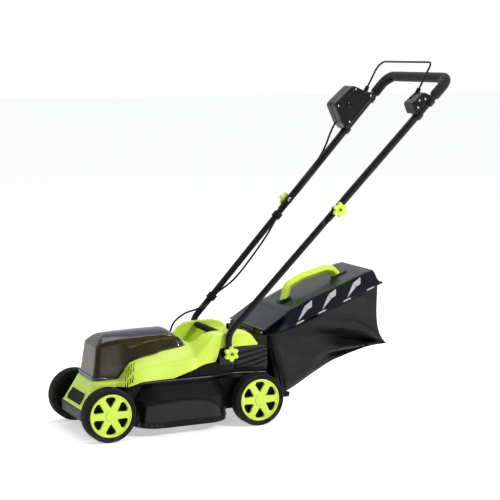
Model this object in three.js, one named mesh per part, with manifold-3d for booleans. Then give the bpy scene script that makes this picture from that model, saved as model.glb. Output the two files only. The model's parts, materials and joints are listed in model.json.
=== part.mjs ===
// Cordless push lawn mower: deck, wheels, battery cover, folding handle and grass box.
// Millimetres, +Z up. +X runs from the nose to the grip, +Y is the right of whoever pushes it.
// The origin is on the ground under the middle of the whole machine.

import * as THREE from 'three';
import { mergeVertices } from 'three/addons/utils/BufferGeometryUtils.js';
import { ConvexGeometry } from 'three/addons/geometries/ConvexGeometry.js';
import Module from 'manifold-3d';

const wasm = await Module();
wasm.setup();

// ---------- driving dimensions ----------

const GAP = 0.3;                 // clearance between pieces that touch
const RUN_GAP = 0.3;             // radial clearance of a shaft in its bore
const SHELL = 3.5;               // wall of the moulded housings

// wheels and axles; x is counted from the front axle inside this file
const WHEEL_RADIUS = 75;
const WHEEL_WIDTH = 40;
const WHEELBASE = 449;
const WHEEL_OUTER_Y = 163;
const WHEEL_SIDES = 24;
const RIM_RADIUS = 60;
const BOSS_RADIUS = 13;
const WEB_THICKNESS = 4;
const COVER_DISC_THICKNESS = 4;
const WINDOW_COUNT = 6;
const WINDOW_INNER = 21;
const WINDOW_OUTER = 47;
const WINDOW_HALF_WIDTH = 11;
const HUB_CAP_RADIUS = 15;
const AXLE_RADIUS = 5;
const CRANK_THICKNESS = 5;
const CRANK_RISE = 14.2;         // wheel centre above the axle's pivot line when lowest
const CRANK_REACH = 30.4;        // wheel centre in front of the axle's pivot line
const LINK_ARM = 50;
const LINK_ARM_ANGLE = 65 * Math.PI / 180;
const LINK_ROD_RADIUS = 3;
const AXLE_Z = WHEEL_RADIUS - CRANK_RISE;
const LINK_ROD_HEIGHT = AXLE_Z + 92.2;
const LEVER_LENGTH = 135;
const LEVER_ANGLE = 80 * Math.PI / 180;
const LEVER_HALF_WIDTH = 8;
const LEVER_THICKNESS = 4;
const LEVER_INSET = 14;          // its upper part's inner face, in from the tyre's outer face
const LEVER_STEP_Z = 2 * WHEEL_RADIUS + 2.4;   // the lever steps out just above the tyre
const PLATE_GAP = 1.5;           // between the deck's side and the crank plates

// deck
const NOSE_X = -57;
const DECK_REAR_X = 495;
const DECK_HALF_WIDTH = 109;
const DECK_TOP = 136;
const DECK_BOTTOM = 47;
const BULGE_HALF_WIDTH = 163;
const BULGE_WHEEL_GAP = 9;       // between the blade chamber and the tyres in side view
const BULGE_FRONT_X = WHEEL_RADIUS + BULGE_WHEEL_GAP;
const BULGE_REAR_GAP = 8;
const BULGE_REAR_X = WHEELBASE - WHEEL_RADIUS - BULGE_REAR_GAP;
const BULGE_CORNER = 70;
const BULGE_BOTTOM = 25;
const BULGE_CREASE = 100;
const BULGE_TOP = 149;
const CHUTE_HALF_WIDTH = 85;
const CHUTE_BOTTOM = 72;
const CHUTE_TOP = 128;

// rotor
const ROTOR_X = 225;
const BLADE_RADIUS = 150;
const BLADE_WIDTH = 46;
const BLADE_THICKNESS = 3;
const BLADE_Z = 44;
const SHAFT_RADIUS = 8;
const MOTOR_RADIUS = 50;
const MOTOR_TOP = 196;
const PAN_FLOOR = 92;

// cowl, battery bay and its cover
const COWL_HALF_WIDTH = 125;
const NOSE_HALF_WIDTH = 85;
const LOBE_INNER = 82;
const LOBE_TOP = 270;
const LOBE_BOTTOM = 226;
const RECESS_FLOOR = 204;
const RECESS_REAR = 243;         // shelf behind the carry handle
const BAY_HALF_WIDTH = 60;
const COVER_HALF_WIDTH = 66;
const COVER_TOP_HALF_WIDTH = 57;
const COVER_WALL = 2.5;
const COVER_CROWN = 277;
const CARRY_BAR_RADIUS = 8.5;
const CARRY_BAR_X = 358;
const CARRY_BAR_Z = 266;
const BATTERY_HALF_WIDTH = 36;

// handle
const LEAN = 45.86 * Math.PI / 180;
const FLARE = 0.048;
const JOINT_X = 696;
const JOINT_Y = 150;
const JOINT_Z = 607;
const LOWER_TUBE_RADIUS = 9.5;
const UPPER_TUBE_RADIUS = 11;
const TUBE_WALL = 1.8;
const PIVOT_X = 366;
const PIVOT_Z = 212;
const PIVOT_Y = JOINT_Y - FLARE * (JOINT_X - PIVOT_X) / Math.cos(LEAN);
const LOBE_HALF_WIDTH = PIVOT_Y - LOWER_TUBE_RADIUS - 0.75;   // the cowl's lobes end beside the lower tubes
const KNEE_RADIUS = 55;          // bend where the lower tube leans back
const UPPER_LENGTH = 518.5;      // from the middle joint to the grip bar
const GRIP_BEND = 65;
const FOAM_RADIUS = 15.5;
const FOAM_START = 445;          // foam end, along the leg from the middle joint
const UPPER_TONGUE_LOW = -40;
const UPPER_TONGUE_HIGH = 26;
const LOWER_TONGUE_LOW = -46;
const LOWER_TONGUE_HIGH = 20;
const BOLT_RADIUS = 4;
const BOLT_HEAD_RADIUS = 9;
const KNOB_RADIUS = 22.5;
const KNOB_LOBES = 6;
const KNOB_THICKNESS = 15;

// switch box, bail and cable
const BOX_Y_INNER = JOINT_Y - 22;
const BOX_Y_OUTER = JOINT_Y + 37;
const BUTTON_S = 340;
const BUTTON_N = 60;
const BUTTON_RADIUS = 9;
const BUTTON_PROUD = 5;
const CABLE_END_S = 281;         // where the cable enters the switch box
const CABLE_END_N = 46;
const BAIL_S = 405;              // bail pivot along the leg from the middle joint
const BAIL_N = 34;               // bail pivot in front of the leg
const BAIL_Y = JOINT_Y;
const BAIL_LENGTH = 118;
const BAIL_ANGLE = 61 * Math.PI / 180;
const BAIL_RADIUS = 3;
const SLEEVE_RADIUS = 6.5;
const CABLE_RADIUS = 3;
const CLIP_S_LOW = -385;         // cable clips, along the lower tube from the middle joint
const CLIP_S_HIGH = -62;
const CLIP_LENGTH = 18;

// grass box
const BOX_FRONT_X = 499;
const BOX_REAR_X = 867;
const BOX_HALF_WIDTH = 128;
const BOX_MOUTH_HALF_WIDTH = BOX_HALF_WIDTH - 40;
const LID_RIM_FRONT_Z = 250;
const LID_SLOPE = 0.352;
const LID_PANEL_RISE = 38;
const LID_PANEL_HALF_WIDTH = BOX_HALF_WIDTH - 30;
const BAG_WALL = 3;
const LID_WALL = 3;

// the grip's rear and the front tyres end the machine, so this puts the origin at mid-length
const GRIP_X = JOINT_X + UPPER_LENGTH * Math.cos(LEAN);
const CENTRE_X = (GRIP_X + FOAM_RADIUS - WHEEL_RADIUS) / 2;

// ---------- materials ----------

function paint(color, roughness, metalness = 0) {
  return new THREE.MeshStandardMaterial({ color, roughness, metalness });
}

const LIME = paint(0xc8e632, 0.38);
const BLACK = paint(0x1d1d1f, 0.55);
const TYRE = paint(0x232322, 0.8);
const SMOKE = paint(0x2a2a30, 0.2);
const TUBE = paint(0x17171a, 0.4, 0.3);
const STEEL = paint(0xb9bcc0, 0.3, 1);
const FOAM = paint(0x141414, 0.9);
const FABRIC = paint(0x2b2b2d, 0.9);
const RED = paint(0xc2281c, 0.4);

// ---------- solids ----------

function solid(geometry) {
  const clean = geometry.clone();
  clean.deleteAttribute('normal');
  clean.deleteAttribute('uv');
  const merged = mergeVertices(clean, 1e-4);
  const vertProperties = new Float32Array(merged.attributes.position.array);
  const triVerts = new Uint32Array(merged.index.array);
  return new wasm.Manifold(new wasm.Mesh({ numProp: 3, vertProperties, triVerts }));
}

function geometryOf(manifold) {
  const mesh = manifold.getMesh();
  const geometry = new THREE.BufferGeometry();
  geometry.setAttribute('position', new THREE.BufferAttribute(new Float32Array(mesh.vertProperties), 3));
  geometry.setIndex(new THREE.BufferAttribute(new Uint32Array(mesh.triVerts), 1));
  return geometry;
}

function joined(...pieces) {
  return pieces.reduce((sum, piece) => sum.add(piece));
}

function outline(points) {
  return new THREE.Shape(points.map(([a, b]) => new THREE.Vector2(a, b)));
}

// a plan outline (x, y) raised from z0 to z1
function raised(shape, z0, z1, curveSegments = 8) {
  const depth = z1 - z0;
  const geometry = new THREE.ExtrudeGeometry(shape, { depth, bevelEnabled: false, curveSegments });
  return geometry.translate(0, 0, z0);
}

// a side outline (x, z) spread from y0 to y1
function spread(shape, y0, y1, curveSegments = 8) {
  const depth = y1 - y0;
  const geometry = new THREE.ExtrudeGeometry(shape, { depth, bevelEnabled: false, curveSegments });
  return geometry.rotateX(Math.PI / 2).translate(0, y1, 0);
}

// a cross outline (y, z) drawn out from x0 to x1
function drawn(shape, x0, x1) {
  const geometry = new THREE.ExtrudeGeometry(shape, { depth: x1 - x0, bevelEnabled: false });
  return geometry.rotateX(Math.PI / 2).rotateZ(Math.PI / 2).translate(x0, 0, 0);
}

function block(x0, x1, y0, y1, z0, z1) {
  const geometry = new THREE.BoxGeometry(x1 - x0, y1 - y0, z1 - z0);
  return geometry.translate((x0 + x1) / 2, (y0 + y1) / 2, (z0 + z1) / 2);
}

// a round bar between two points
function bar(from, to, radius, sides = 12) {
  const start = new THREE.Vector3(...from);
  const end = new THREE.Vector3(...to);
  const direction = end.clone().sub(start);
  const geometry = new THREE.CylinderGeometry(radius, radius, direction.length(), sides);
  const turn = new THREE.Quaternion().setFromUnitVectors(
    new THREE.Vector3(0, 1, 0), direction.clone().normalize());
  return geometry.applyQuaternion(turn).translate(...start.add(end).multiplyScalar(0.5).toArray());
}

// a round bar along a curve, hollow where a wall is given
function tube(curve, radius, steps, sides = 12, wall = 0) {
  const section = new THREE.Shape();
  section.absarc(0, 0, radius, 0, Math.PI * 2);
  if (wall > 0) {
    const inside = new THREE.Path();
    inside.absarc(0, 0, radius - wall, 0, Math.PI * 2, true);
    section.holes.push(inside);
  }
  return new THREE.ExtrudeGeometry(section, { extrudePath: curve, steps, curveSegments: sides });
}

// moves each edge of a counter-clockwise outline inwards by a distance
function inset(points, distance) {
  const count = points.length;
  return points.map((point, index) => {
    const before = points[(index + count - 1) % count];
    const after = points[(index + 1) % count];
    const first = new THREE.Vector2(point[0] - before[0], point[1] - before[1]).normalize();
    const second = new THREE.Vector2(after[0] - point[0], after[1] - point[1]).normalize();
    const turn = 1 + first.dot(second);
    const shift = distance / turn;
    return [point[0] - (first.y + second.y) * shift, point[1] + (first.x + second.x) * shift];
  });
}

// a bar's centre line: straight runs with each corner rounded to an arc of a few steps
class BentPath extends THREE.Curve {
  constructor(points, radius, arcSteps = 5) {
    super();
    const corners = points.map((point) => new THREE.Vector3(...point));
    const last = corners.length - 1;
    this.stops = [];
    const stop = (point, tangent) => this.stops.push({ point, tangent: tangent.clone().normalize() });
    stop(corners[0], corners[1].clone().sub(corners[0]));
    for (let index = 1; index < last; index += 1) {
      const corner = corners[index];
      const back = corners[index - 1].clone().sub(corner).normalize();
      const on = corners[index + 1].clone().sub(corner).normalize();
      const halfAngle = back.angleTo(on) / 2;
      const enter = corner.clone().addScaledVector(back, radius / Math.tan(halfAngle));
      const centre = back.clone().add(on).normalize().multiplyScalar(radius / Math.sin(halfAngle)).add(corner);
      const spoke = enter.clone().sub(centre);
      const axis = back.clone().negate().cross(on).normalize();
      const sweep = Math.PI - halfAngle * 2;
      for (let step = 0; step <= arcSteps; step += 1) {
        const angle = sweep * step / arcSteps;
        const point = spoke.clone().applyAxisAngle(axis, angle).add(centre);
        stop(point, back.clone().negate().applyAxisAngle(axis, angle));
      }
    }
    stop(corners[last], corners[last].clone().sub(corners[last - 1]));
  }

  get steps() {
    return this.stops.length - 1;
  }

  getPointAt(share, target = new THREE.Vector3()) {
    return target.copy(this.stops[Math.round(share * this.steps)].point);
  }

  getTangentAt(share, target = new THREE.Vector3()) {
    return target.copy(this.stops[Math.round(share * this.steps)].tangent);
  }
}

function bentBar(path, radius, sides = 6, wall = 0) {
  return tube(path, radius, path.steps, sides, wall);
}

const mower = new THREE.Group();
const machine = new THREE.Group();
machine.position.x = -CENTRE_X;
mower.add(machine);

function place(name, geometry, material, parent = machine) {
  const mesh = new THREE.Mesh(geometry, material);
  mesh.name = name;
  parent.add(mesh);
  return mesh;
}

function make(name, manifold, material, parent = machine) {
  return place(name, geometryOf(manifold), material, parent);
}

const SIDES = [['left', -1], ['right', 1]];

// side (x, z) point beside the handle: s along the leg from the middle joint, n in front of it
function onHandle(s, n = 0) {
  return [
    JOINT_X + s * Math.cos(LEAN) - n * Math.sin(LEAN),
    JOINT_Z + s * Math.sin(LEAN) + n * Math.cos(LEAN),
  ];
}

function legY(s) {
  return JOINT_Y + FLARE * s;
}

// ---------- deck ----------

const deckProfile = [
  [NOSE_X + 1, DECK_BOTTOM], [DECK_REAR_X, DECK_BOTTOM], [DECK_REAR_X, DECK_TOP],
  [NOSE_X + 45, DECK_TOP], [NOSE_X + 12, 77], [NOSE_X - 1, 77],
];
const bulgeMiddleX = (BULGE_FRONT_X + BULGE_REAR_X) / 2;
const bulgeHalfLength = (BULGE_REAR_X - BULGE_FRONT_X) / 2;

function bulgePlan(halfLength, halfWidth, corner) {
  const plan = new THREE.Shape();
  const straightX = halfLength - corner;
  const straightY = halfWidth - corner;
  plan.absarc(bulgeMiddleX + straightX, straightY, corner, 0, Math.PI / 2);
  plan.absarc(bulgeMiddleX - straightX, straightY, corner, Math.PI / 2, Math.PI);
  plan.absarc(bulgeMiddleX - straightX, -straightY, corner, Math.PI, Math.PI * 1.5);
  plan.absarc(bulgeMiddleX + straightX, -straightY, corner, Math.PI * 1.5, Math.PI * 2);
  return plan.getPoints(4);
}

// the blade chamber's outside: an upright skirt and a shoulder that leans in above the crease
function bulgeBody(wall, bottom) {
  const skirt = bulgePlan(bulgeHalfLength - wall, BULGE_HALF_WIDTH - wall, BULGE_CORNER - wall);
  const roof = bulgePlan(bulgeHalfLength - 22 - wall, COWL_HALF_WIDTH - 5 - wall, BULGE_CORNER - 22 - wall);
  const points = [];
  for (const p of skirt) {
    points.push(new THREE.Vector3(p.x, p.y, bottom));
    points.push(new THREE.Vector3(p.x, p.y, BULGE_CREASE - wall * 0.4));
  }
  for (const p of roof) {
    points.push(new THREE.Vector3(p.x, p.y, BULGE_TOP - wall));
  }
  return solid(new ConvexGeometry(points));
}

function mirroredPlan(half) {
  const left = half.map(([x, y]) => [x, -y]);
  const right = half.map(([x, y]) => [x, y]).reverse();
  return outline([...left, ...right]);
}

// the deck is wide at the axles and steps in under the nose, between the front wheels
function deckPlans(wall) {
  const low = [[NOSE_X - 5, NOSE_HALF_WIDTH - wall], [-15, DECK_HALF_WIDTH - wall],
    [DECK_REAR_X + 5, DECK_HALF_WIDTH - wall]];
  const high = [[NOSE_X - 5, NOSE_HALF_WIDTH - 9 - wall], [60, NOSE_HALF_WIDTH - 7 - wall],
    [66, DECK_HALF_WIDTH - wall], [DECK_REAR_X + 5, DECK_HALF_WIDTH - wall]];
  const split = 77 - wall;
  return joined(solid(raised(mirroredPlan(low), 0, split)), solid(raised(mirroredPlan(high), split - 1, 200)));
}

function axlePivots() {
  return [CRANK_REACH, WHEELBASE + CRANK_REACH];
}

function makeDeck() {
  const wallY = DECK_HALF_WIDTH;
  const innerProfile = [
    [NOSE_X + 1 + SHELL, DECK_BOTTOM - 5], [DECK_REAR_X - SHELL, DECK_BOTTOM - 5],
    [DECK_REAR_X - SHELL, DECK_TOP - SHELL], [NOSE_X + 45 + SHELL, DECK_TOP - SHELL],
    [NOSE_X + 12 + SHELL, 77 - SHELL], [NOSE_X + 1 + SHELL, 77 - SHELL],
  ];
  let shell = joined(
    solid(spread(outline(deckProfile), -wallY, wallY)).intersect(deckPlans(0)),
    bulgeBody(0, BULGE_BOTTOM),
  );
  const hollow = joined(
    solid(spread(outline(innerProfile), -wallY, wallY)).intersect(deckPlans(SHELL)),
    bulgeBody(SHELL, BULGE_BOTTOM - 5),
  );
  shell = shell.subtract(hollow);
  const pan = solid(new THREE.CylinderGeometry(MOTOR_RADIUS + 12, MOTOR_RADIUS + 12,
    BULGE_TOP - 1 - PAN_FLOOR, 28).rotateX(Math.PI / 2)
    .translate(ROTOR_X, 0, (BULGE_TOP - 1 + PAN_FLOOR) / 2));
  const panHollow = solid(new THREE.CylinderGeometry(MOTOR_RADIUS + 8, MOTOR_RADIUS + 8,
    BULGE_TOP + 10 - PAN_FLOOR, 28).rotateX(Math.PI / 2)
    .translate(ROTOR_X, 0, PAN_FLOOR + 4 + (BULGE_TOP + 10 - PAN_FLOOR) / 2));
  shell = shell.add(pan).subtract(panHollow);
  shell = shell.subtract(solid(bar([ROTOR_X, 0, PAN_FLOOR - 5], [ROTOR_X, 0, PAN_FLOOR + 9],
    SHAFT_RADIUS + 3, 16)));
  shell = shell.subtract(solid(block(DECK_REAR_X - 10, DECK_REAR_X + 5, -CHUTE_HALF_WIDTH,
    CHUTE_HALF_WIDTH, CHUTE_BOTTOM, CHUTE_TOP)));
  for (const x of axlePivots()) {
    shell = shell.subtract(solid(bar([x, -wallY - 5, AXLE_Z], [x, wallY + 5, AXLE_Z],
      AXLE_RADIUS + RUN_GAP, 16)));
  }
  make('deck_shell', shell, BLACK);
}

// ---------- cowl ----------

const cowlProfile = [
  [NOSE_X, 78], [10, 141], [62, 141], [110, 152], [200, 154], [301, 184], [341, 188],
  [350, RECESS_FLOOR - SHELL], [384, RECESS_FLOOR - SHELL], [392, RECESS_REAR - SHELL],
  [462, RECESS_REAR - SHELL], [455, RECESS_REAR], [388, RECESS_REAR], [378, RECESS_FLOOR + 2],
  [292, RECESS_FLOOR], [276, 231], [255, 231], [170, 217], [88, 200], [56, 154], [-14, 154],
];
const cowlInnerProfile = [
  [NOSE_X + SHELL + 1, 70], [10, 130], [62, 130], [110, 140], [200, 140], [301, 170],
  [341 - SHELL, 176], [352, RECESS_FLOOR - SHELL],
  [292 - SHELL / 2, RECESS_FLOOR - SHELL], [276 - SHELL / 2, 231 - SHELL], [255, 231 - SHELL],
  [170, 217 - SHELL], [88 + SHELL / 2, 200 - SHELL], [56 + SHELL / 2, 154 - SHELL],
  [-14 + SHELL / 2, 154 - SHELL],
];

function cowlPlan(wall) {
  const half = [
    [NOSE_X - 5, NOSE_HALF_WIDTH], [45, NOSE_HALF_WIDTH + 4], [66, COWL_HALF_WIDTH - 3],
    [200, COWL_HALF_WIDTH], [301, COWL_HALF_WIDTH - 4], [345, LOBE_HALF_WIDTH], [500, LOBE_HALF_WIDTH],
  ];
  const left = half.map(([x, y]) => [x, -(y - wall)]);
  const right = half.map(([x, y]) => [x, y - wall]).reverse();
  return outline([...left, ...right]);
}

function cowlSection(wall) {
  const half = [
    [COWL_HALF_WIDTH - wall, 60], [COWL_HALF_WIDTH - wall, 150],
    [COWL_HALF_WIDTH - 20 - wall, 197], [COVER_HALF_WIDTH + 3, 240 - wall],
    [COVER_HALF_WIDTH + 3, 260],
  ];
  return outline([...half, ...half.map(([y, z]) => [-y, z]).reverse()]);
}

const lobeProfile = [
  [284, RECESS_FLOOR - 2], [341, RECESS_FLOOR - 2], [341, LOBE_BOTTOM], [462, LOBE_BOTTOM],
  [452, 250], [430, LOBE_TOP - 4], [371, LOBE_TOP], [318, LOBE_TOP - 6], [302, 250],
];

function makeCowl() {
  const body = solid(spread(outline(cowlProfile), -COWL_HALF_WIDTH, COWL_HALF_WIDTH))
    .intersect(solid(raised(cowlPlan(0), 60, 300)))
    .intersect(solid(drawn(cowlSection(0), NOSE_X - 5, 500)));
  const hollow = solid(spread(outline(cowlInnerProfile), -COWL_HALF_WIDTH, COWL_HALF_WIDTH))
    .intersect(solid(raised(cowlPlan(SHELL), 60, 300)))
    .intersect(solid(drawn(cowlSection(SHELL), NOSE_X - 5, 500)));
  let cowl = body.subtract(hollow);
  for (const [, side] of SIDES) {
    const ys = [side * LOBE_INNER, side * LOBE_HALF_WIDTH].sort((a, b) => a - b);
    cowl = cowl.add(solid(spread(outline(lobeProfile), ys[0], ys[1])));
    const lobeHollow = inset(lobeProfile, SHELL);
    lobeHollow[2][1] = LOBE_BOTTOM - 5;
    lobeHollow[3][1] = LOBE_BOTTOM - 5;
    cowl = cowl.subtract(solid(spread(outline(lobeHollow), ys[0] + SHELL, ys[1] - SHELL)));
  }
  const bay = [[-8, 145], [58, 145], [90, 190], [240, 190], [240, 260], [-8, 260]];
  cowl = cowl.subtract(solid(spread(outline(bay), -BAY_HALF_WIDTH, BAY_HALF_WIDTH)));
  const badge = [[NOSE_X - 20, 84], [NOSE_X + 40, 84], [NOSE_X + 40, 116], [NOSE_X - 20, 116]];
  cowl = cowl.subtract(solid(spread(outline(badge), -53, 53)));
  cowl = cowl.subtract(solid(bar([262, 70, 206], [280, 88, 254], CABLE_RADIUS + 4, 10)));
  make('cowl', cowl, LIME);

  const slope = (150 - 78) / (-15 - NOSE_X);
  const badgeFace = (z) => NOSE_X + 1 + (z - 78) / slope;
  const plate = [
    [badgeFace(84.5), 84.5], [badgeFace(84.5) + 3, 84.5],
    [badgeFace(115.5) + 3, 115.5], [badgeFace(115.5), 115.5],
  ];
  place('nose_badge', spread(outline(plate), -52.5, 52.5), BLACK);
}

// ---------- battery bay ----------

const coverProfile = [
  [-13, 154.5], [55, 154.5], [87.5, 200.7], [170, 217.5], [255, 232], [262, 243],
  [236, COVER_CROWN - 5], [213, COVER_CROWN], [28, COVER_CROWN - 4], [10, 262],
];
const HINGE_X = 264;
const HINGE_Z = 237;

function coverSection(wall) {
  const half = [
    [COVER_HALF_WIDTH - wall, 140], [COVER_TOP_HALF_WIDTH - wall, 256 - wall],
    [COVER_TOP_HALF_WIDTH - 12 - wall, 268 - wall], [20, COVER_CROWN - wall],
  ];
  return outline([...half, ...half.map(([y, z]) => [-y, z]).reverse()]);
}

function makeBatteryBay() {
  const body = solid(spread(outline(coverProfile), -COVER_HALF_WIDTH, COVER_HALF_WIDTH))
    .intersect(solid(drawn(coverSection(0), -30, 300)));
  const inner = inset(coverProfile, COVER_WALL);
  inner[0][1] -= 10;
  inner[1][1] -= 10;
  inner[2] = [inner[2][0] + 8, inner[2][1] - 10];
  inner[3][1] -= 10;
  inner[4][1] -= 10;
  const hollow = solid(spread(outline(inner), -COVER_HALF_WIDTH, COVER_HALF_WIDTH))
    .intersect(solid(drawn(coverSection(COVER_WALL), -30, 300)));
  let cover = body.subtract(hollow);
  const knuckle = solid(bar([HINGE_X, -18, HINGE_Z], [HINGE_X, 18, HINGE_Z], 5, 12));
  cover = cover.add(knuckle.add(solid(block(256, 262, -18, 18, 234, 241))));
  cover = cover.subtract(solid(bar([HINGE_X, -30, HINGE_Z], [HINGE_X, 30, HINGE_Z], 2 + RUN_GAP, 8)));
  make('battery_cover', cover, SMOKE);
  place('cover_hinge_pin', bar([HINGE_X, -24, HINGE_Z], [HINGE_X, 24, HINGE_Z], 2, 8), STEEL);

  const trayHalf = BAY_HALF_WIDTH - GAP;
  const tray = solid(block(0, 140, -trayHalf, trayHalf, 150.5, 168))
    .subtract(solid(block(3, 137, -trayHalf + 3, trayHalf - 3, 154, 175)));
  make('battery_tray', tray, BLACK);

  const packProfile = [
    [14, 154.3], [112, 154.3], [112, 206], [100, 240], [62, 256], [30, 240], [14, 190],
  ];
  place('battery_pack', spread(outline(packProfile), -BATTERY_HALF_WIDTH, BATTERY_HALF_WIDTH), BLACK);
  place('safety_key', block(118, 132, -8, 8, 154.3, 190), RED);
  place('control_board', block(-2, 80, -45, 45, DECK_TOP + 2, DECK_TOP + 3.6), LIME);
}

// ---------- motor and blade ----------

function makeRotor() {
  const motorBottom = PAN_FLOOR + 4 + GAP;
  const profile = [
    [SHAFT_RADIUS + 2, motorBottom], [MOTOR_RADIUS + 6, motorBottom], [MOTOR_RADIUS + 6, motorBottom + 5],
    [MOTOR_RADIUS, motorBottom + 5], [MOTOR_RADIUS, MOTOR_TOP - 12], [MOTOR_RADIUS - 14, MOTOR_TOP],
    [0, MOTOR_TOP], [0, MOTOR_TOP - 8], [SHAFT_RADIUS + 2, MOTOR_TOP - 8], [SHAFT_RADIUS + 2, motorBottom],
  ].map(([r, z]) => new THREE.Vector2(r, z));
  const motor = new THREE.LatheGeometry(profile, 28).rotateX(Math.PI / 2);
  place('motor_housing', motor.translate(ROTOR_X, 0, 0), BLACK);

  const bladeTop = BLADE_Z + BLADE_THICKNESS;
  const shaft = joined(
    solid(bar([ROTOR_X, 0, bladeTop + GAP], [ROTOR_X, 0, MOTOR_TOP - 9], SHAFT_RADIUS, 16)),
    solid(bar([ROTOR_X, 0, bladeTop + GAP], [ROTOR_X, 0, bladeTop + 14], SHAFT_RADIUS + 16, 24)),
  ).subtract(solid(bar([ROTOR_X, 0, BLADE_Z - 10], [ROTOR_X, 0, bladeTop + 20], 4 + GAP, 12)));
  make('motor_shaft', shaft, STEEL);

  const tipX = BLADE_RADIUS;
  const halfWidth = BLADE_WIDTH / 2;
  const chord = Math.sqrt(tipX ** 2 - halfWidth ** 2);
  const plan = outline([
    [ROTOR_X - halfWidth, -chord], [ROTOR_X + halfWidth, -chord],
    [ROTOR_X + halfWidth, chord], [ROTOR_X - halfWidth, chord],
  ]);
  const hole = new THREE.Path();
  hole.absarc(ROTOR_X, 0, 4 + GAP, 0, Math.PI * 2, true);
  plan.holes.push(hole);
  place('blade', raised(plan, BLADE_Z, bladeTop, 12), STEEL);
  const bolt = joined(
    solid(bar([ROTOR_X, 0, BLADE_Z - GAP - 7], [ROTOR_X, 0, BLADE_Z - GAP], 9, 6)),
    solid(bar([ROTOR_X, 0, BLADE_Z - 2], [ROTOR_X, 0, bladeTop + 18], 4, 12)),
  );
  make('blade_bolt', bolt, STEEL);
}

// ---------- wheels ----------

const wheelInnerY = WHEEL_OUTER_Y - WHEEL_WIDTH;
const stubEndY = WHEEL_OUTER_Y - COVER_DISC_THICKNESS - 4;

// wheels are modelled about the Y axis with the outer face towards +Y
function wheelGeometry() {
  const facetRadius = WHEEL_RADIUS / Math.cos(Math.PI / WHEEL_SIDES);
  const webInner = WHEEL_OUTER_Y - 24;
  const webOuter = webInner + WEB_THICKNESS;
  const bore = AXLE_RADIUS + RUN_GAP;
  const profile = [
    [bore, wheelInnerY - 5], [BOSS_RADIUS, wheelInnerY - 5], [BOSS_RADIUS, webInner],
    [RIM_RADIUS, webInner], [RIM_RADIUS, wheelInnerY], [facetRadius, wheelInnerY + 2],
    [facetRadius, WHEEL_OUTER_Y - 2], [RIM_RADIUS, WHEEL_OUTER_Y], [RIM_RADIUS, webOuter],
    [BOSS_RADIUS, webOuter], [BOSS_RADIUS, stubEndY - 1], [bore, stubEndY - 1], [bore, wheelInnerY - 5],
  ].map(([r, y]) => new THREE.Vector2(r, y));
  const geometry = new THREE.LatheGeometry(profile, WHEEL_SIDES);
  return geometry.rotateY(Math.PI / WHEEL_SIDES);
}

function wheelCoverGeometry() {
  const outerY = WHEEL_OUTER_Y - 1;
  const innerY = outerY - COVER_DISC_THICKNESS;
  const disc = new THREE.Shape();
  disc.absarc(0, 0, RIM_RADIUS - 1.5, 0, Math.PI * 2);
  for (let index = 0; index < WINDOW_COUNT; index += 1) {
    const angle = Math.PI / 2 + index * Math.PI * 2 / WINDOW_COUNT;
    const along = new THREE.Vector2(Math.cos(angle), Math.sin(angle));
    const across = new THREE.Vector2(-along.y, along.x);
    const corners = [
      [WINDOW_INNER, 0], [WINDOW_OUTER - 5, WINDOW_HALF_WIDTH], [WINDOW_OUTER, WINDOW_HALF_WIDTH * 0.7],
      [WINDOW_OUTER, -WINDOW_HALF_WIDTH * 0.7], [WINDOW_OUTER - 5, -WINDOW_HALF_WIDTH],
    ];
    const points = corners.map(([r, w]) => along.clone().multiplyScalar(r).addScaledVector(across, w));
    disc.holes.push(new THREE.Path(points.reverse()));
  }
  const face = solid(spread(disc, innerY, outerY, 12));
  const cap = solid(bar([0, innerY, 0], [0, outerY + 1, 0], HUB_CAP_RADIUS, 18));
  return geometryOf(face.add(cap));
}

function crankPlate(pivotX, targets, side) {
  const inner = DECK_HALF_WIDTH + PLATE_GAP;
  const ys = [side * inner, side * (inner + CRANK_THICKNESS)].sort((a, b) => a - b);
  const arms = targets.map(([x, z]) => {
    const points = [];
    for (const [cx, cz] of [[pivotX, AXLE_Z], [x, z]]) {
      for (let index = 0; index < 10; index += 1) {
        const angle = index * Math.PI / 5;
        const px = cx + 9 * Math.cos(angle);
        const pz = cz + 9 * Math.sin(angle);
        points.push(new THREE.Vector3(px, ys[0], pz), new THREE.Vector3(px, ys[1], pz));
      }
    }
    return solid(new ConvexGeometry(points));
  });
  return joined(...arms);
}

function linkPin(pivotX) {
  return [
    pivotX + LINK_ARM * Math.cos(LINK_ARM_ANGLE),
    AXLE_Z + LINK_ARM * Math.sin(LINK_ARM_ANGLE),
  ];
}

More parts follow.
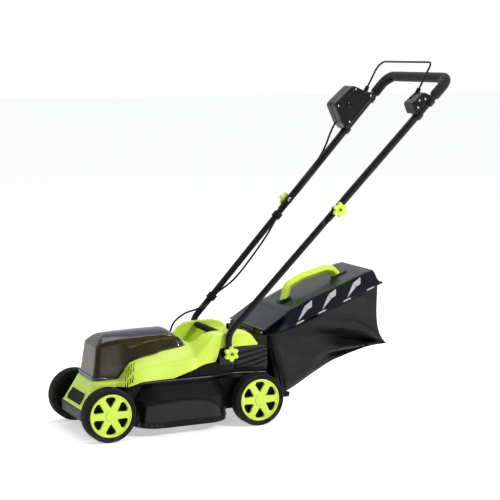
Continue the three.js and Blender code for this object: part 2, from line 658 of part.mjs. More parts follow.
function makeRunningGear() {
  const crankOuter = DECK_HALF_WIDTH + PLATE_GAP + CRANK_THICKNESS;
  const [frontPivot, rearPivot] = axlePivots();
  const wheel = wheelGeometry();
  const cover = wheelCoverGeometry();
  for (const [end, pivotX, wheelX] of [['front', frontPivot, 0], ['rear', rearPivot, WHEELBASE]]) {
    let axle = solid(bar([pivotX, -crankOuter, AXLE_Z], [pivotX, crankOuter, AXLE_Z], AXLE_RADIUS, 12));
    for (const [name, side] of SIDES) {
      const targets = [[wheelX, WHEEL_RADIUS]];
      if (side < 0) {
        targets.push(linkPin(pivotX));
      }
      axle = axle.add(crankPlate(pivotX, targets, side));
      axle = axle.add(solid(bar([wheelX, side * (crankOuter - 2), WHEEL_RADIUS],
        [wheelX, side * stubEndY, WHEEL_RADIUS], AXLE_RADIUS, 12)));
      const rim = place(`wheel_${end}_${name}`, wheel, TYRE);
      const disc = place(`wheel_cover_${end}_${name}`, cover, LIME);
      for (const mesh of [rim, disc]) {
        mesh.position.set(wheelX, 0, WHEEL_RADIUS);
        mesh.rotation.z = side < 0 ? Math.PI : 0;
      }
    }
    if (end === 'rear') {
      axle = axle.add(heightLever(pivotX));
    }
    const [pinX, pinZ] = linkPin(pivotX);
    axle = axle.subtract(solid(bar([pinX, -crankOuter - 5, pinZ], [pinX, 0, pinZ],
      LINK_ROD_RADIUS + RUN_GAP, 12)));
    make(`${end}_axle`, axle, STEEL);
  }

  const outY = -(COWL_HALF_WIDTH + 20);
  const inY = -(crankOuter + 0.5 + LINK_ROD_RADIUS);
  const [frontX, pinZ] = linkPin(frontPivot);
  const [rearX] = linkPin(rearPivot);
  const route = new BentPath([
    [frontX, inY + 8, pinZ], [frontX, inY, pinZ], [WHEEL_RADIUS - 15.5, inY, DECK_TOP - 4],
    [WHEEL_RADIUS + 18.5, outY, LINK_ROD_HEIGHT], [BULGE_REAR_X - 61, outY, LINK_ROD_HEIGHT],
    [rearX - 120, inY, LINK_ROD_HEIGHT - 2], [rearX - 12, inY, LINK_ROD_HEIGHT - 8],
    [rearX, inY, pinZ], [rearX, inY + 8, pinZ],
  ], 3, 3);
  make('link_rod', solid(bentBar(route, LINK_ROD_RADIUS, 4)), STEEL);
}

// the height lever stands up from the rear crank and steps out over the wheel
function heightLever(pivotX) {
  const inner = DECK_HALF_WIDTH + PLATE_GAP;
  const direction = [Math.cos(LEVER_ANGLE), Math.sin(LEVER_ANGLE)];
  const point = (r) => [pivotX + r * direction[0], AXLE_Z + r * direction[1]];
  const stepReach = (LEVER_STEP_Z - AXLE_Z) / direction[1];
  const step = point(stepReach);
  const end = point(LEVER_LENGTH);
  const outer = WHEEL_OUTER_Y - LEVER_INSET;
  const strip = (from, to, y0, y1) => {
    const across = [-direction[1] * LEVER_HALF_WIDTH, direction[0] * LEVER_HALF_WIDTH];
    return solid(spread(outline([
      [from[0] - across[0], from[1] - across[1]], [to[0] - across[0], to[1] - across[1]],
      [to[0] + across[0], to[1] + across[1]], [from[0] + across[0], from[1] + across[1]],
    ].reverse()), y0, y1));
  };
  const low = point(0);
  const ledge = point(stepReach + LEVER_THICKNESS);
  return joined(
    strip(low, ledge, inner, inner + CRANK_THICKNESS),
    strip(step, ledge, inner, outer + LEVER_THICKNESS),
    strip(step, end, outer, outer + LEVER_THICKNESS),
  );
}

function makeLeverKnob() {
  const [, pivotX] = axlePivots();
  const knobHeight = 26;
  const outer = WHEEL_OUTER_Y - LEVER_INSET;
  const x = pivotX + (LEVER_LENGTH + GAP) * Math.cos(LEVER_ANGLE);
  const z = AXLE_Z + (LEVER_LENGTH + GAP) * Math.sin(LEVER_ANGLE);
  const knob = new THREE.BoxGeometry(30, 16, knobHeight);
  const mesh = place('lever_knob', knob, BLACK);
  mesh.position.set(x + knobHeight / 2 * Math.cos(LEVER_ANGLE), outer + LEVER_THICKNESS / 2,
    z + knobHeight / 2 * Math.sin(LEVER_ANGLE));
  mesh.rotation.y = Math.PI / 2 - LEVER_ANGLE;
}

// ---------- rear frame, brackets, carry handle ----------

const FRAME_PLATE = 4;
const FRAME_FACE_Y = DECK_HALF_WIDTH + 1;
const RIB_COUNT = 5;
const RIB_HEIGHT = 4;
const RIB_LOW_Z = LEVER_STEP_Z + 15.6;   // the side ribs start above the lever's step
const FLAP_PIN_X = 481;
const FLAP_PIN_Z = 257;
const FLAP_PIN_RADIUS = 2.5;
const KNUCKLE_HALF = 4;          // the frame's knuckles stay inside the flap's sweep
const KNUCKLE_INNER = 60;
const KNUCKLE_OUTER = 104;

function pivotBore(side) {
  return solid(bar([PIVOT_X, side * LOBE_INNER, PIVOT_Z], [PIVOT_X, side * (PIVOT_Y + 20), PIVOT_Z],
    BOLT_RADIUS + RUN_GAP, 12));
}

function makeRearFrame() {
  const outer = FRAME_FACE_Y;
  const inner = outer - FRAME_PLATE;
  const sideProfile = [
    [225, 150.2], [DECK_REAR_X, 150.2], [DECK_REAR_X, 250], [466, 250], [466, LOBE_BOTTOM - GAP - 1],
    [347, LOBE_BOTTOM - GAP - 1], [347, 186], [300, 181],
  ];
  const pieces = [];
  for (const [, side] of SIDES) {
    const ys = [side * inner, side * outer].sort((a, b) => a - b);
    pieces.push(solid(spread(outline(sideProfile), ys[0], ys[1])));
    const ribYs = [side * (outer - 1), side * (outer + 5)].sort((a, b) => a - b);
    const ribPitch = (LOBE_BOTTOM - 10 - RIB_LOW_Z) / (RIB_COUNT - 1);
    for (let index = 0; index < RIB_COUNT; index += 1) {
      const z = RIB_LOW_Z + index * ribPitch;
      pieces.push(solid(block(402, 492, ribYs[0], ribYs[1], z, z + RIB_HEIGHT)));
    }
    const knuckles = [side * KNUCKLE_INNER, side * KNUCKLE_OUTER].sort((a, b) => a - b);
    pieces.push(solid(block(FLAP_PIN_X - KNUCKLE_HALF, FLAP_PIN_X + KNUCKLE_HALF, knuckles[0], knuckles[1],
      246, FLAP_PIN_Z + KNUCKLE_HALF)));
  }
  pieces.push(solid(block(470, DECK_REAR_X, -outer, outer, 225, 248)));
  pieces.push(solid(block(DECK_REAR_X - 20, DECK_REAR_X, -outer, outer, 150.2, 158)));
  let frame = joined(...pieces);
  frame = frame.subtract(solid(bar([FLAP_PIN_X, -outer, FLAP_PIN_Z], [FLAP_PIN_X, outer, FLAP_PIN_Z],
    FLAP_PIN_RADIUS + GAP, 10)));
  for (const [, side] of SIDES) {
    frame = frame.subtract(pivotBore(side));
  }
  make('rear_frame', frame, BLACK);
  place('flap_pin', bar([FLAP_PIN_X, 1 - KNUCKLE_OUTER, FLAP_PIN_Z], [FLAP_PIN_X, KNUCKLE_OUTER - 1, FLAP_PIN_Z],
    FLAP_PIN_RADIUS, 10), STEEL);

  const barLength = LOBE_INNER - GAP;
  place('carry_handle', bar([CARRY_BAR_X, -barLength, CARRY_BAR_Z - 6],
    [CARRY_BAR_X, barLength, CARRY_BAR_Z - 6], CARRY_BAR_RADIUS, 14), BLACK);

  for (const [name, side] of SIDES) {
    const faceY = outer + GAP;
    const ys = [side * faceY, side * (PIVOT_Y - LOWER_TUBE_RADIUS - 0.6)].sort((a, b) => a - b);
    const bracketProfile = outline([
      [PIVOT_X - 22, 176], [PIVOT_X + 26, 176], [PIVOT_X + 26, LOBE_BOTTOM - 2], [PIVOT_X - 22, LOBE_BOTTOM - 2],
    ]);
    const bracket = solid(spread(bracketProfile, ys[0], ys[1])).subtract(pivotBore(side));
    make(`handle_bracket_${name}`, bracket, BLACK);
  }
}

// a round-headed bolt along Y with its head towards the machine's middle
function boltSolid(headY, endY, side) {
  return joined(
    solid(bar([0, side * headY, 0], [0, side * (headY + 4.5), 0], BOLT_HEAD_RADIUS, 14)),
    solid(bar([0, side * (headY + 4), 0], [0, side * endY, 0], BOLT_RADIUS, 12)),
  );
}

// a six-lobed hand knob about the Y axis, seated at y = 0 and growing outwards
function knobGeometry(side) {
  const shape = new THREE.Shape();
  const steps = KNOB_LOBES * 4;
  const points = [];
  for (let index = 0; index < steps; index += 1) {
    const angle = index * Math.PI * 2 / steps;
    const wave = Math.cos(angle * KNOB_LOBES);
    const radius = KNOB_RADIUS - 3.5 + 3.5 * wave;
    points.push(new THREE.Vector2(radius * Math.cos(angle), radius * Math.sin(angle)));
  }
  shape.setFromPoints(points);
  const hole = new THREE.Path();
  hole.absarc(0, 0, BOLT_RADIUS + RUN_GAP, 0, Math.PI * 2, true);
  shape.holes.push(hole);
  const ys = [side * 4, side * KNOB_THICKNESS].sort((a, b) => a - b);
  const star = solid(spread(shape, ys[0], ys[1], 6));
  const neck = solid(bar([0, 0, 0], [0, side * 5, 0], 11, 12))
    .subtract(solid(bar([0, -side, 0], [0, side * 8, 0], BOLT_RADIUS + RUN_GAP, 12)));
  return geometryOf(star.add(neck));
}

// ---------- lower handle ----------

function tongueCut(sLow, sHigh, y0, y1) {
  const reach = 30;
  const corners = [[sLow, -reach], [sHigh, -reach], [sHigh, reach], [sLow, reach]];
  const shape = outline(corners.map(([s, n]) => onHandle(s, n)));
  const ys = [y0, y1].sort((a, b) => a - b);
  return solid(spread(shape, ys[0], ys[1]));
}

function makeLowerHandle() {
  const kneeZ = JOINT_Z - (JOINT_X - PIVOT_X) * Math.tan(LEAN);
  for (const [name, side] of SIDES) {
    const top = onHandle(LOWER_TONGUE_HIGH);
    const path = new BentPath([
      [PIVOT_X, side * PIVOT_Y, PIVOT_Z - 16], [PIVOT_X, side * PIVOT_Y, kneeZ],
      [top[0], side * legY(LOWER_TONGUE_HIGH), top[1]],
    ], KNEE_RADIUS);
    let leg = solid(bentBar(path, LOWER_TUBE_RADIUS, 6, TUBE_WALL));
    leg = leg.subtract(tongueCut(LOWER_TONGUE_LOW, LOWER_TONGUE_HIGH + 20, side * (JOINT_Y - GAP / 2),
      side * (JOINT_Y + 30)));
    leg = leg.subtract(solid(bar([JOINT_X, side * (JOINT_Y - 30), JOINT_Z],
      [JOINT_X, side * (JOINT_Y + 30), JOINT_Z], BOLT_RADIUS + RUN_GAP, 12)));
    leg = leg.subtract(pivotBore(side));
    make(`lower_tube_${name}`, leg, TUBE);

    const jointBolt = make(`joint_bolt_${name}`, boltSolid(JOINT_Y - LOWER_TUBE_RADIUS - 5.5,
      JOINT_Y + UPPER_TUBE_RADIUS + KNOB_THICKNESS - 3, side), STEEL);
    jointBolt.position.set(JOINT_X, 0, JOINT_Z);
    const pivotBolt = make(`pivot_bolt_${name}`, boltSolid(FRAME_FACE_Y - FRAME_PLATE - GAP - 4.5,
      PIVOT_Y + LOWER_TUBE_RADIUS + KNOB_THICKNESS - 3, side), STEEL);
    pivotBolt.position.set(PIVOT_X, 0, PIVOT_Z);
    const knob = knobGeometry(side);
    const upperKnob = place(`joint_knob_${name}`, knob, LIME);
    upperKnob.position.set(JOINT_X, side * (JOINT_Y + UPPER_TUBE_RADIUS + 1.2), JOINT_Z);
    const lowerKnob = place(`pivot_knob_${name}`, knob, LIME);
    lowerKnob.position.set(PIVOT_X, side * (PIVOT_Y + LOWER_TUBE_RADIUS + 0.6), PIVOT_Z);
  }
}

// ---------- upper handle; its group's X runs up the legs, its Z points forwards ----------

const upper = new THREE.Group();
upper.position.set(JOINT_X, 0, JOINT_Z);
upper.rotation.y = -LEAN;
machine.add(upper);

function gripPath(sStart) {
  return new BentPath([
    [sStart, legY(sStart), 0], [UPPER_LENGTH, legY(UPPER_LENGTH), 0],
    [UPPER_LENGTH, -legY(UPPER_LENGTH), 0], [sStart, -legY(sStart), 0],
  ], GRIP_BEND, 6);
}

function makeUpperTube() {
  const path = gripPath(UPPER_TONGUE_LOW);
  let frame = solid(bentBar(path, UPPER_TUBE_RADIUS, 6, TUBE_WALL));
  const bore = solid(bentBar(path, UPPER_TUBE_RADIUS + GAP));
  for (const [, side] of SIDES) {
    const ys = [side * (JOINT_Y - 30), side * (JOINT_Y + GAP / 2)].sort((a, b) => a - b);
    frame = frame.subtract(solid(block(UPPER_TONGUE_LOW - 5, UPPER_TONGUE_HIGH, ys[0], ys[1], -30, 30)));
    frame = frame.subtract(solid(bar([0, side * (JOINT_Y - 30), 0], [0, side * (JOINT_Y + 30), 0],
      BOLT_RADIUS + RUN_GAP, 12)));
  }
  make('upper_tube', frame, TUBE, upper);
  const foam = solid(bentBar(gripPath(FOAM_START), FOAM_RADIUS)).subtract(bore);
  make('grip_foam', foam, FOAM, upper);
  return bore;
}

function makeSwitchBox(bore) {
  const boxProfile = [
    [282, -12], [436, -12], [436, 14], [412, 46], [395, 90], [308, 98], [284, 34],
  ];
  const inner = inset(boxProfile, SHELL);
  const whole = solid(spread(outline(boxProfile), BOX_Y_INNER, BOX_Y_OUTER));
  const hollow = solid(spread(outline(inner), BOX_Y_INNER + SHELL, BOX_Y_OUTER - SHELL));
  const core = solid(spread(outline([[300, -20], [425, -20], [425, 18], [300, 18]]), BOX_Y_INNER, BOX_Y_OUTER));
  let shell = whole.subtract(hollow.subtract(core)).subtract(bore);
  const slot = solid(block(BAIL_S - 12, BAIL_S + 60, BAIL_Y - 7.5, BAIL_Y + 7.5, BAIL_N - 12, BAIL_N + 60));
  const pinHole = solid(bar([BAIL_S, BAIL_Y - 12, BAIL_N], [BAIL_S, BAIL_Y + 12, BAIL_N], 4 + RUN_GAP, 12));
  shell = shell.subtract(slot).subtract(pinHole);
  const button = solid(bar([BUTTON_S, BOX_Y_INNER - BUTTON_PROUD, BUTTON_N], [BUTTON_S, BOX_Y_INNER + 12, BUTTON_N],
    BUTTON_RADIUS + RUN_GAP, 16));
  shell = shell.subtract(button);
  const entry = solid(bar([CABLE_END_S + 15, BAIL_Y, CABLE_END_N], [CABLE_END_S - 11, BAIL_Y, CABLE_END_N],
    CABLE_RADIUS + GAP, 8));
  shell = shell.subtract(entry);
  const split = BAIL_Y + 8;
  const near = solid(block(200, 500, BOX_Y_INNER - 10, split - GAP / 2, -50, 150));
  const far = solid(block(200, 500, split + GAP / 2, BOX_Y_OUTER + 10, -50, 150));
  make('switch_box_inner', shell.intersect(near), BLACK, upper);
  make('switch_box_outer', shell.intersect(far), BLACK, upper);
  place('safety_button', bar([BUTTON_S, BOX_Y_INNER - BUTTON_PROUD, BUTTON_N], [BUTTON_S, BOX_Y_INNER + 9, BUTTON_N],
    BUTTON_RADIUS, 16), LIME, upper);
}

function makeBailBracket(bore) {
  const profile = [[358, -24], [436, -24], [436, 2], [424, 40], [372, 46], [358, 12]];
  const y0 = -(BAIL_Y - 14);
  const y1 = -BOX_Y_OUTER;
  let bracket = solid(spread(outline(profile), y1, y0)).subtract(bore);
  bracket = bracket.subtract(solid(block(BAIL_S - 12, BAIL_S + 60, -BAIL_Y - 7.5, -BAIL_Y + 7.5,
    BAIL_N - 12, BAIL_N + 60)));
  bracket = bracket.subtract(solid(bar([BAIL_S, -BAIL_Y - 12, BAIL_N], [BAIL_S, -BAIL_Y + 12, BAIL_N],
    4 + RUN_GAP, 12)));
  make('bail_bracket', bracket, BLACK, upper);
}

// the bail stands clear of the grip at rest and is squeezed back onto it
function makeBail() {
  const tilt = BAIL_ANGLE - LEAN;
  const at = (r, y) => [BAIL_S + r * Math.cos(tilt), y, BAIL_N + r * Math.sin(tilt)];
  const path = new BentPath([
    at(0, -BAIL_Y), at(BAIL_LENGTH, -BAIL_Y), at(BAIL_LENGTH, BAIL_Y), at(0, BAIL_Y),
  ], 14);
  let wire = solid(bentBar(path, BAIL_RADIUS, 4));
  for (const [, side] of SIDES) {
    wire = wire.add(solid(bar([BAIL_S, side * (BAIL_Y - 6.5), BAIL_N], [BAIL_S, side * (BAIL_Y + 6.5), BAIL_N],
      8, 14)));
    wire = wire.add(solid(bar([BAIL_S, side * (BAIL_Y - 11), BAIL_N], [BAIL_S, side * (BAIL_Y + 11), BAIL_N],
      4, 10)));
  }
  make('bail_wire', wire, STEEL, upper);
  for (const [name, side] of SIDES) {
    const wireHole = solid(bar(at(9, side * BAIL_Y), at(34, side * BAIL_Y), BAIL_RADIUS + GAP, 8));
    const sleeve = solid(bar(at(11, side * BAIL_Y), at(31, side * BAIL_Y), SLEEVE_RADIUS, 12));
    make(`bail_sleeve_${name}`, sleeve.subtract(wireHole), BLACK, upper);
  }
}

// ---------- cable ----------

function cableGeometry(points, steps) {
  const curve = new THREE.CatmullRomCurve3(points.map((point) => new THREE.Vector3(...point)), false, 'centripetal');
  return tube(curve, CABLE_RADIUS, steps, 4);
}

function makeCable() {
  const clipY = (s) => legY(s) - LOWER_TUBE_RADIUS - CABLE_RADIUS - 3;
  const beside = (s, n = 0, dy = 0) => {
    const [x, z] = onHandle(s, n);
    return [x, clipY(s) + dy, z];
  };
  const lowEnd = CLIP_S_LOW - CLIP_LENGTH / 2;
  const highEnd = CLIP_S_HIGH + CLIP_LENGTH / 2;
  place('cable_lower', cableGeometry([
    [268, 76, 222], [276, 84, 246], [292, 96, 268], [330, 106, 290], [372, 110, 300],
    beside(lowEnd - 16), beside(lowEnd - GAP),
  ], 18), FOAM);
  place('cable_middle', cableGeometry([
    beside(lowEnd), beside(lowEnd + CLIP_LENGTH + 6), beside(CLIP_S_LOW + 80, -12, -8),
    beside(CLIP_S_LOW + 190, -8, -14), beside(CLIP_S_HIGH - 60, -4, -8),
    beside(CLIP_S_HIGH - CLIP_LENGTH / 2 - 6), beside(highEnd),
  ], 22), FOAM);
  const [boxX, boxZ] = onHandle(CABLE_END_S, CABLE_END_N);
  place('cable_upper', cableGeometry([
    beside(highEnd + GAP), beside(highEnd + 16), beside(20, 4, -8), beside(110, 14, -10),
    beside(190, 26, -8), [boxX - 22, BAIL_Y - 4, boxZ - 32], [boxX - 5, BAIL_Y, boxZ - 5.2],
    [boxX, BAIL_Y, boxZ],
  ], 22), FOAM);

  for (const [name, s] of [['lower', CLIP_S_LOW], ['upper', CLIP_S_HIGH]]) {
    const y = legY(s);
    const clip = new THREE.Group();
    const [x, z] = onHandle(s);
    clip.position.set(x, 0, z);
    clip.rotation.y = -LEAN;
    machine.add(clip);
    const half = CLIP_LENGTH / 2;
    const ring = solid(bar([-half, y, 0], [half, y, 0], LOWER_TUBE_RADIUS + 3.5, 14));
    const ear = solid(block(-half, half, y - LOWER_TUBE_RADIUS - 12, y - 4, -6, 6));
    const tubeHole = solid(bar([-30, y - FLARE * 30, 0], [30, y + FLARE * 30, 0], LOWER_TUBE_RADIUS + 0.6, 14));
    const cableHole = solid(bar([-30, clipY(s) - FLARE * 30, 0], [30, clipY(s) + FLARE * 30, 0],
      CABLE_RADIUS + 1.2, 10));
    make(`cable_clip_${name}`, ring.add(ear).subtract(tubeHole).subtract(cableHole), BLACK, clip);
  }
}

// ---------- grass box ----------

function rimZ(x) {
  return LID_RIM_FRONT_Z + (x - BOX_FRONT_X) * LID_SLOPE;
}

function lidHull(wall) {
  const points = [];
  const drop = wall > 0 ? 12 : 0;
  const half = BOX_HALF_WIDTH - wall;
  const panel = LID_PANEL_HALF_WIDTH - wall;
  for (const side of [-1, 1]) {
    for (const x of [BOX_FRONT_X + wall, BOX_REAR_X - wall]) {
      points.push(new THREE.Vector3(x, side * half, rimZ(x) - drop));
      points.push(new THREE.Vector3(x, side * half, rimZ(x) + 10 - wall));
    }
    points.push(new THREE.Vector3(BOX_FRONT_X + 5 + wall, side * panel, rimZ(BOX_FRONT_X) + 15 - wall));
    const crownX = BOX_FRONT_X + 92 + wall;
    points.push(new THREE.Vector3(crownX, side * panel, rimZ(crownX) + LID_PANEL_RISE - wall));
    const rearX = BOX_REAR_X - 16 - wall;
    points.push(new THREE.Vector3(rearX, side * panel, rimZ(rearX) + LID_PANEL_RISE - wall));
  }
  return solid(new ConvexGeometry(points));
}

// the bag hangs from just under the lid's rim
function bagTop(x) {
  return [x, rimZ(x) - 2 * GAP];
}

const bagProfile = [
  bagTop(BOX_FRONT_X + 6), bagTop(BOX_REAR_X - 4), [BOX_REAR_X + 10, 232], [BOX_REAR_X + 21, 192],
  [676, 134], [578, 78], [548, 70],
];

function makeGrassBox() {
  make('box_lid', lidHull(0).subtract(lidHull(LID_WALL)), BLACK);

  const bagHalf = BOX_HALF_WIDTH - 5;
  const bag = [...bagProfile].reverse();
  const outer = solid(spread(outline(bag), -bagHalf, bagHalf));
  const inner = inset(bag, BAG_WALL);
  const hollowPoints = inner.map(([x, z], index) => {
    const top = index >= inner.length - 2;
    return [x, top ? z + 12 : z];
  });
  hollowPoints[0][0] -= 12;
  hollowPoints[hollowPoints.length - 1][0] -= 12;
  const hollow = solid(spread(outline(hollowPoints), -bagHalf + BAG_WALL, bagHalf - BAG_WALL));
  make('box_bag', outer.subtract(hollow), FABRIC);

  const frontTop = [BOX_FRONT_X + 5.4, rimZ(BOX_FRONT_X + 5) - 2];
  const frontLow = [547, 69];
  const thickness = 4;
  const plateShape = outline([
    [frontTop[0] - thickness, frontTop[1]], [frontLow[0] - thickness, frontLow[1]],
    frontLow, frontTop,
  ]);
  const plateHalf = BOX_HALF_WIDTH - 10;
  const plate = solid(spread(plateShape, -plateHalf, plateHalf));
  const mouth = solid(block(BOX_FRONT_X - 20, 600, -BOX_MOUTH_HALF_WIDTH, BOX_MOUTH_HALF_WIDTH, 92, 226));
  make('box_front_frame', plate.subtract(mouth), BLACK);

  const handleFront = [612, rimZ(612) + LID_PANEL_RISE + 0.8];
  const handleRear = [784, rimZ(784) + LID_PANEL_RISE + 0.8];
  const grip = new THREE.Shape([
    [handleFront[0] - 16, handleFront[1] - 5.5], [handleFront[0] + 16, handleFront[1] + 5.5],
    [handleFront[0] + 40, handleFront[1] + 50], [handleRear[0] - 56, handleRear[1] + 8],
    [handleRear[0] - 14, handleRear[1] - 4.5], [handleRear[0] + 12, handleRear[1] + 4.5],
    [handleRear[0] - 34, handleRear[1] + 33], [handleFront[0] + 30, handleFront[1] + 72],
    [handleFront[0] + 14, handleFront[1] + 52],
  ].map(([x, z]) => new THREE.Vector2(x, z)));
  place('box_handle', spread(grip, -14, 14), LIME);
}

function makeFlap() {
  const slope = (rimZ(BOX_FRONT_X + 92) + LID_PANEL_RISE - rimZ(BOX_FRONT_X) - 15) / 87;
  const from = [FLAP_PIN_X + 9, FLAP_PIN_Z + 8];
  const to = [FLAP_PIN_X + 74, FLAP_PIN_Z + 8 + 65 * slope];
  const shape = outline([
    [FLAP_PIN_X - 2, FLAP_PIN_Z + 6], from, to, [to[0] - 1, to[1] + 3], [from[0] - 2, from[1] + 3],
    [FLAP_PIN_X - 2, FLAP_PIN_Z + 9.5],
  ]);
  let flap = solid(spread(shape, -114, 114));
  const half = KNUCKLE_INNER - 2;
  const knuckle = solid(bar([FLAP_PIN_X, -half, FLAP_PIN_Z], [FLAP_PIN_X, half, FLAP_PIN_Z], 6, 12))
    .add(solid(block(FLAP_PIN_X - 4, FLAP_PIN_X + 4, -half, half, FLAP_PIN_Z, FLAP_PIN_Z + 8)));
  flap = flap.add(knuckle);
  flap = flap.subtract(solid(bar([FLAP_PIN_X, -KNUCKLE_OUTER, FLAP_PIN_Z],
    [FLAP_PIN_X, KNUCKLE_OUTER, FLAP_PIN_Z], FLAP_PIN_RADIUS + GAP, 10)));
  make('discharge_flap', flap, BLACK);
}

makeDeck();
makeCowl();
makeBatteryBay();
makeRotor();
makeRunningGear();
makeLeverKnob();
makeRearFrame();
makeLowerHandle();
const tubeBore = makeUpperTube();
makeSwitchBox(tubeBore);
makeBailBracket(tubeBore);
makeBail();
makeCable();
makeGrassBox();
makeFlap();

export default mower;
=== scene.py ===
"""Looks for the cordless push mower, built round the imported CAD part.

Sizes are in millimetres in the mower's own frame: x counts rearwards from the front axle, y from the middle
(left of whoever pushes it is negative), z up from the ground. here() turns them into the row frame in metres.
"""

import json
import math

import bmesh
import bpy
from mathutils import Euler, Matrix, Vector, noise
from mathutils.geometry import tessellate_polygon


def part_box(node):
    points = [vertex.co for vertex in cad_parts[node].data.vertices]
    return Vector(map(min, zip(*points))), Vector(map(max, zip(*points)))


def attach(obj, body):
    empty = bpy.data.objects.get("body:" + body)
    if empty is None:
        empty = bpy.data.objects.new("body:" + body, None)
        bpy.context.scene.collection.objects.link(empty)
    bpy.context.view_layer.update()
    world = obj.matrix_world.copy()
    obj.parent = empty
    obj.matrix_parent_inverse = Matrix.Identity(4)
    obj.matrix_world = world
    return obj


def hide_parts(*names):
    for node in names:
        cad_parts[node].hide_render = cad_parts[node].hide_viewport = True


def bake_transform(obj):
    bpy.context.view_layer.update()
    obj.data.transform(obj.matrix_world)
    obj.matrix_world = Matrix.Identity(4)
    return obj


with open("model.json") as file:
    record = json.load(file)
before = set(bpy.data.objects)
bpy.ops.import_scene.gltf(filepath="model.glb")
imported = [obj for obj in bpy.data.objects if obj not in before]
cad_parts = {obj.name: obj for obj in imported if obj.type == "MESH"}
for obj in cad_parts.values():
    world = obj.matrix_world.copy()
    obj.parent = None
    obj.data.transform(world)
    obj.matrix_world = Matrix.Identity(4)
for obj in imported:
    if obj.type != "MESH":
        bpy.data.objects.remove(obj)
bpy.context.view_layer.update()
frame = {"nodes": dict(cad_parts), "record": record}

MM = 0.001
FRONT_AXLE_X = sum(corner.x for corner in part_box("wheel_front_left")) / 2      # metres, in the row frame
UP = Vector((0, 0, 1))
SIDES = (("left", -1), ("right", 1))


def here(x, y, z):
    """A point of the mower's own frame, in the row frame in metres."""
    return Vector((FRONT_AXLE_X + x * MM, y * MM, z * MM))


def span(node):
    """Lowest and highest corner of a CAD node in the mower's own frame, in millimetres."""
    low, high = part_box(node)
    shift = Vector((FRONT_AXLE_X, 0, 0))
    return (low - shift) / MM, (high - shift) / MM


def middle_of(node):
    """The middle of a CAD node's box, in the mower's own frame."""
    low, high = span(node)
    return (low + high) / 2


# ---------- camera, light and floor ----------

def make_camera():
    """A long lens, low and to the left of the nose."""
    data = bpy.data.cameras.new("camera")
    data.lens = 107.4
    data.sensor_width = 36
    data.dof.use_dof = False
    camera = bpy.data.objects.new("camera", data)
    camera.location = (-1.8568, -3.888, 1.052)
    camera.rotation_euler = Euler((math.radians(82.465), 0, math.radians(-25.466)))
    bpy.context.scene.collection.objects.link(camera)
    bpy.context.scene.camera = camera


def area_light(name, place, aim, size, power, colour=(1, 1, 1)):
    """A rectangular light at a place, turned to face the aim."""
    data = bpy.data.lights.new(name, "AREA")
    data.shape = "RECTANGLE"
    data.size, data.size_y = size
    data.energy = power
    data.color = colour
    light = bpy.data.objects.new(name, data)
    light.location = place
    light.rotation_mode = "QUATERNION"
    light.rotation_quaternion = (Vector(place) - Vector(aim)).to_track_quat("Z", "Y")
    bpy.context.scene.collection.objects.link(light)


def make_stage():
    """White surroundings, three soft lights and a pale floor."""
    world = bpy.data.worlds.new("studio")
    world.use_nodes = True
    tree = world.node_tree
    sky = tree.nodes["Background"]
    sky.inputs["Color"].default_value = (0.97, 0.985, 1.0, 1)
    facing = tree.nodes.new("ShaderNodeSeparateXYZ")
    tree.links.new(tree.nodes.new("ShaderNodeTexCoord").outputs["Generated"], facing.inputs[0])
    fade = tree.nodes.new("ShaderNodeMapRange")        # white behind the mower, a dim room in front of it
    for key, value in (("From Min", -0.25), ("From Max", 0.45), ("To Min", 0.22), ("To Max", 1.05)):
        fade.inputs[key].default_value = value
    tree.links.new(facing.outputs["Y"], fade.inputs["Value"])
    tree.links.new(fade.outputs["Result"], sky.inputs["Strength"])
    bpy.context.scene.world = world
    bpy.context.scene.view_settings.view_transform = "Standard"
    area_light("key", (2.2, -3.4, 2.9), (0, 0, 0.3), (0.9, 0.9), 200, (1.0, 0.98, 0.94))
    area_light("fill", (-3.2, -2.4, 2.2), (0, 0, 0.3), (2.2, 1.6), 16, (0.88, 0.93, 1.0))
    area_light("top", (0.2, 0.6, 3.6), (0, 0, 0.2), (2.6, 2.6), 55, (0.94, 0.97, 1.0))

    half = 30
    floor_mesh = bpy.data.meshes.new("floor")
    floor_mesh.from_pydata([(-half, -half, 0), (half, -half, 0), (half, half, 0), (-half, half, 0)], [],
                           [(0, 1, 2, 3)])
    floor = bpy.data.objects.new("floor", floor_mesh)
    paper = bpy.data.materials.new("pale_floor")
    paper.use_nodes = True
    shader = paper.node_tree.nodes["Principled BSDF"]
    shader.inputs["Base Color"].default_value = (0.75, 0.75, 0.75, 1)
    shader.inputs["Roughness"].default_value = 1.0
    shader.inputs["Emission Color"].default_value = (1, 1, 1, 1)
    shader.inputs["Emission Strength"].default_value = 0.5
    floor_mesh.materials.append(paper)
    bpy.context.scene.collection.objects.link(floor)


# ---------- materials ----------

def linear(red, green, blue):
    """A colour given as 0-255 display values, in the scene's linear values."""
    def channel(value):
        share = value / 255
        return share / 12.92 if share <= 0.04045 else ((share + 0.055) / 1.055) ** 2.4
    return (channel(red), channel(green), channel(blue), 1)


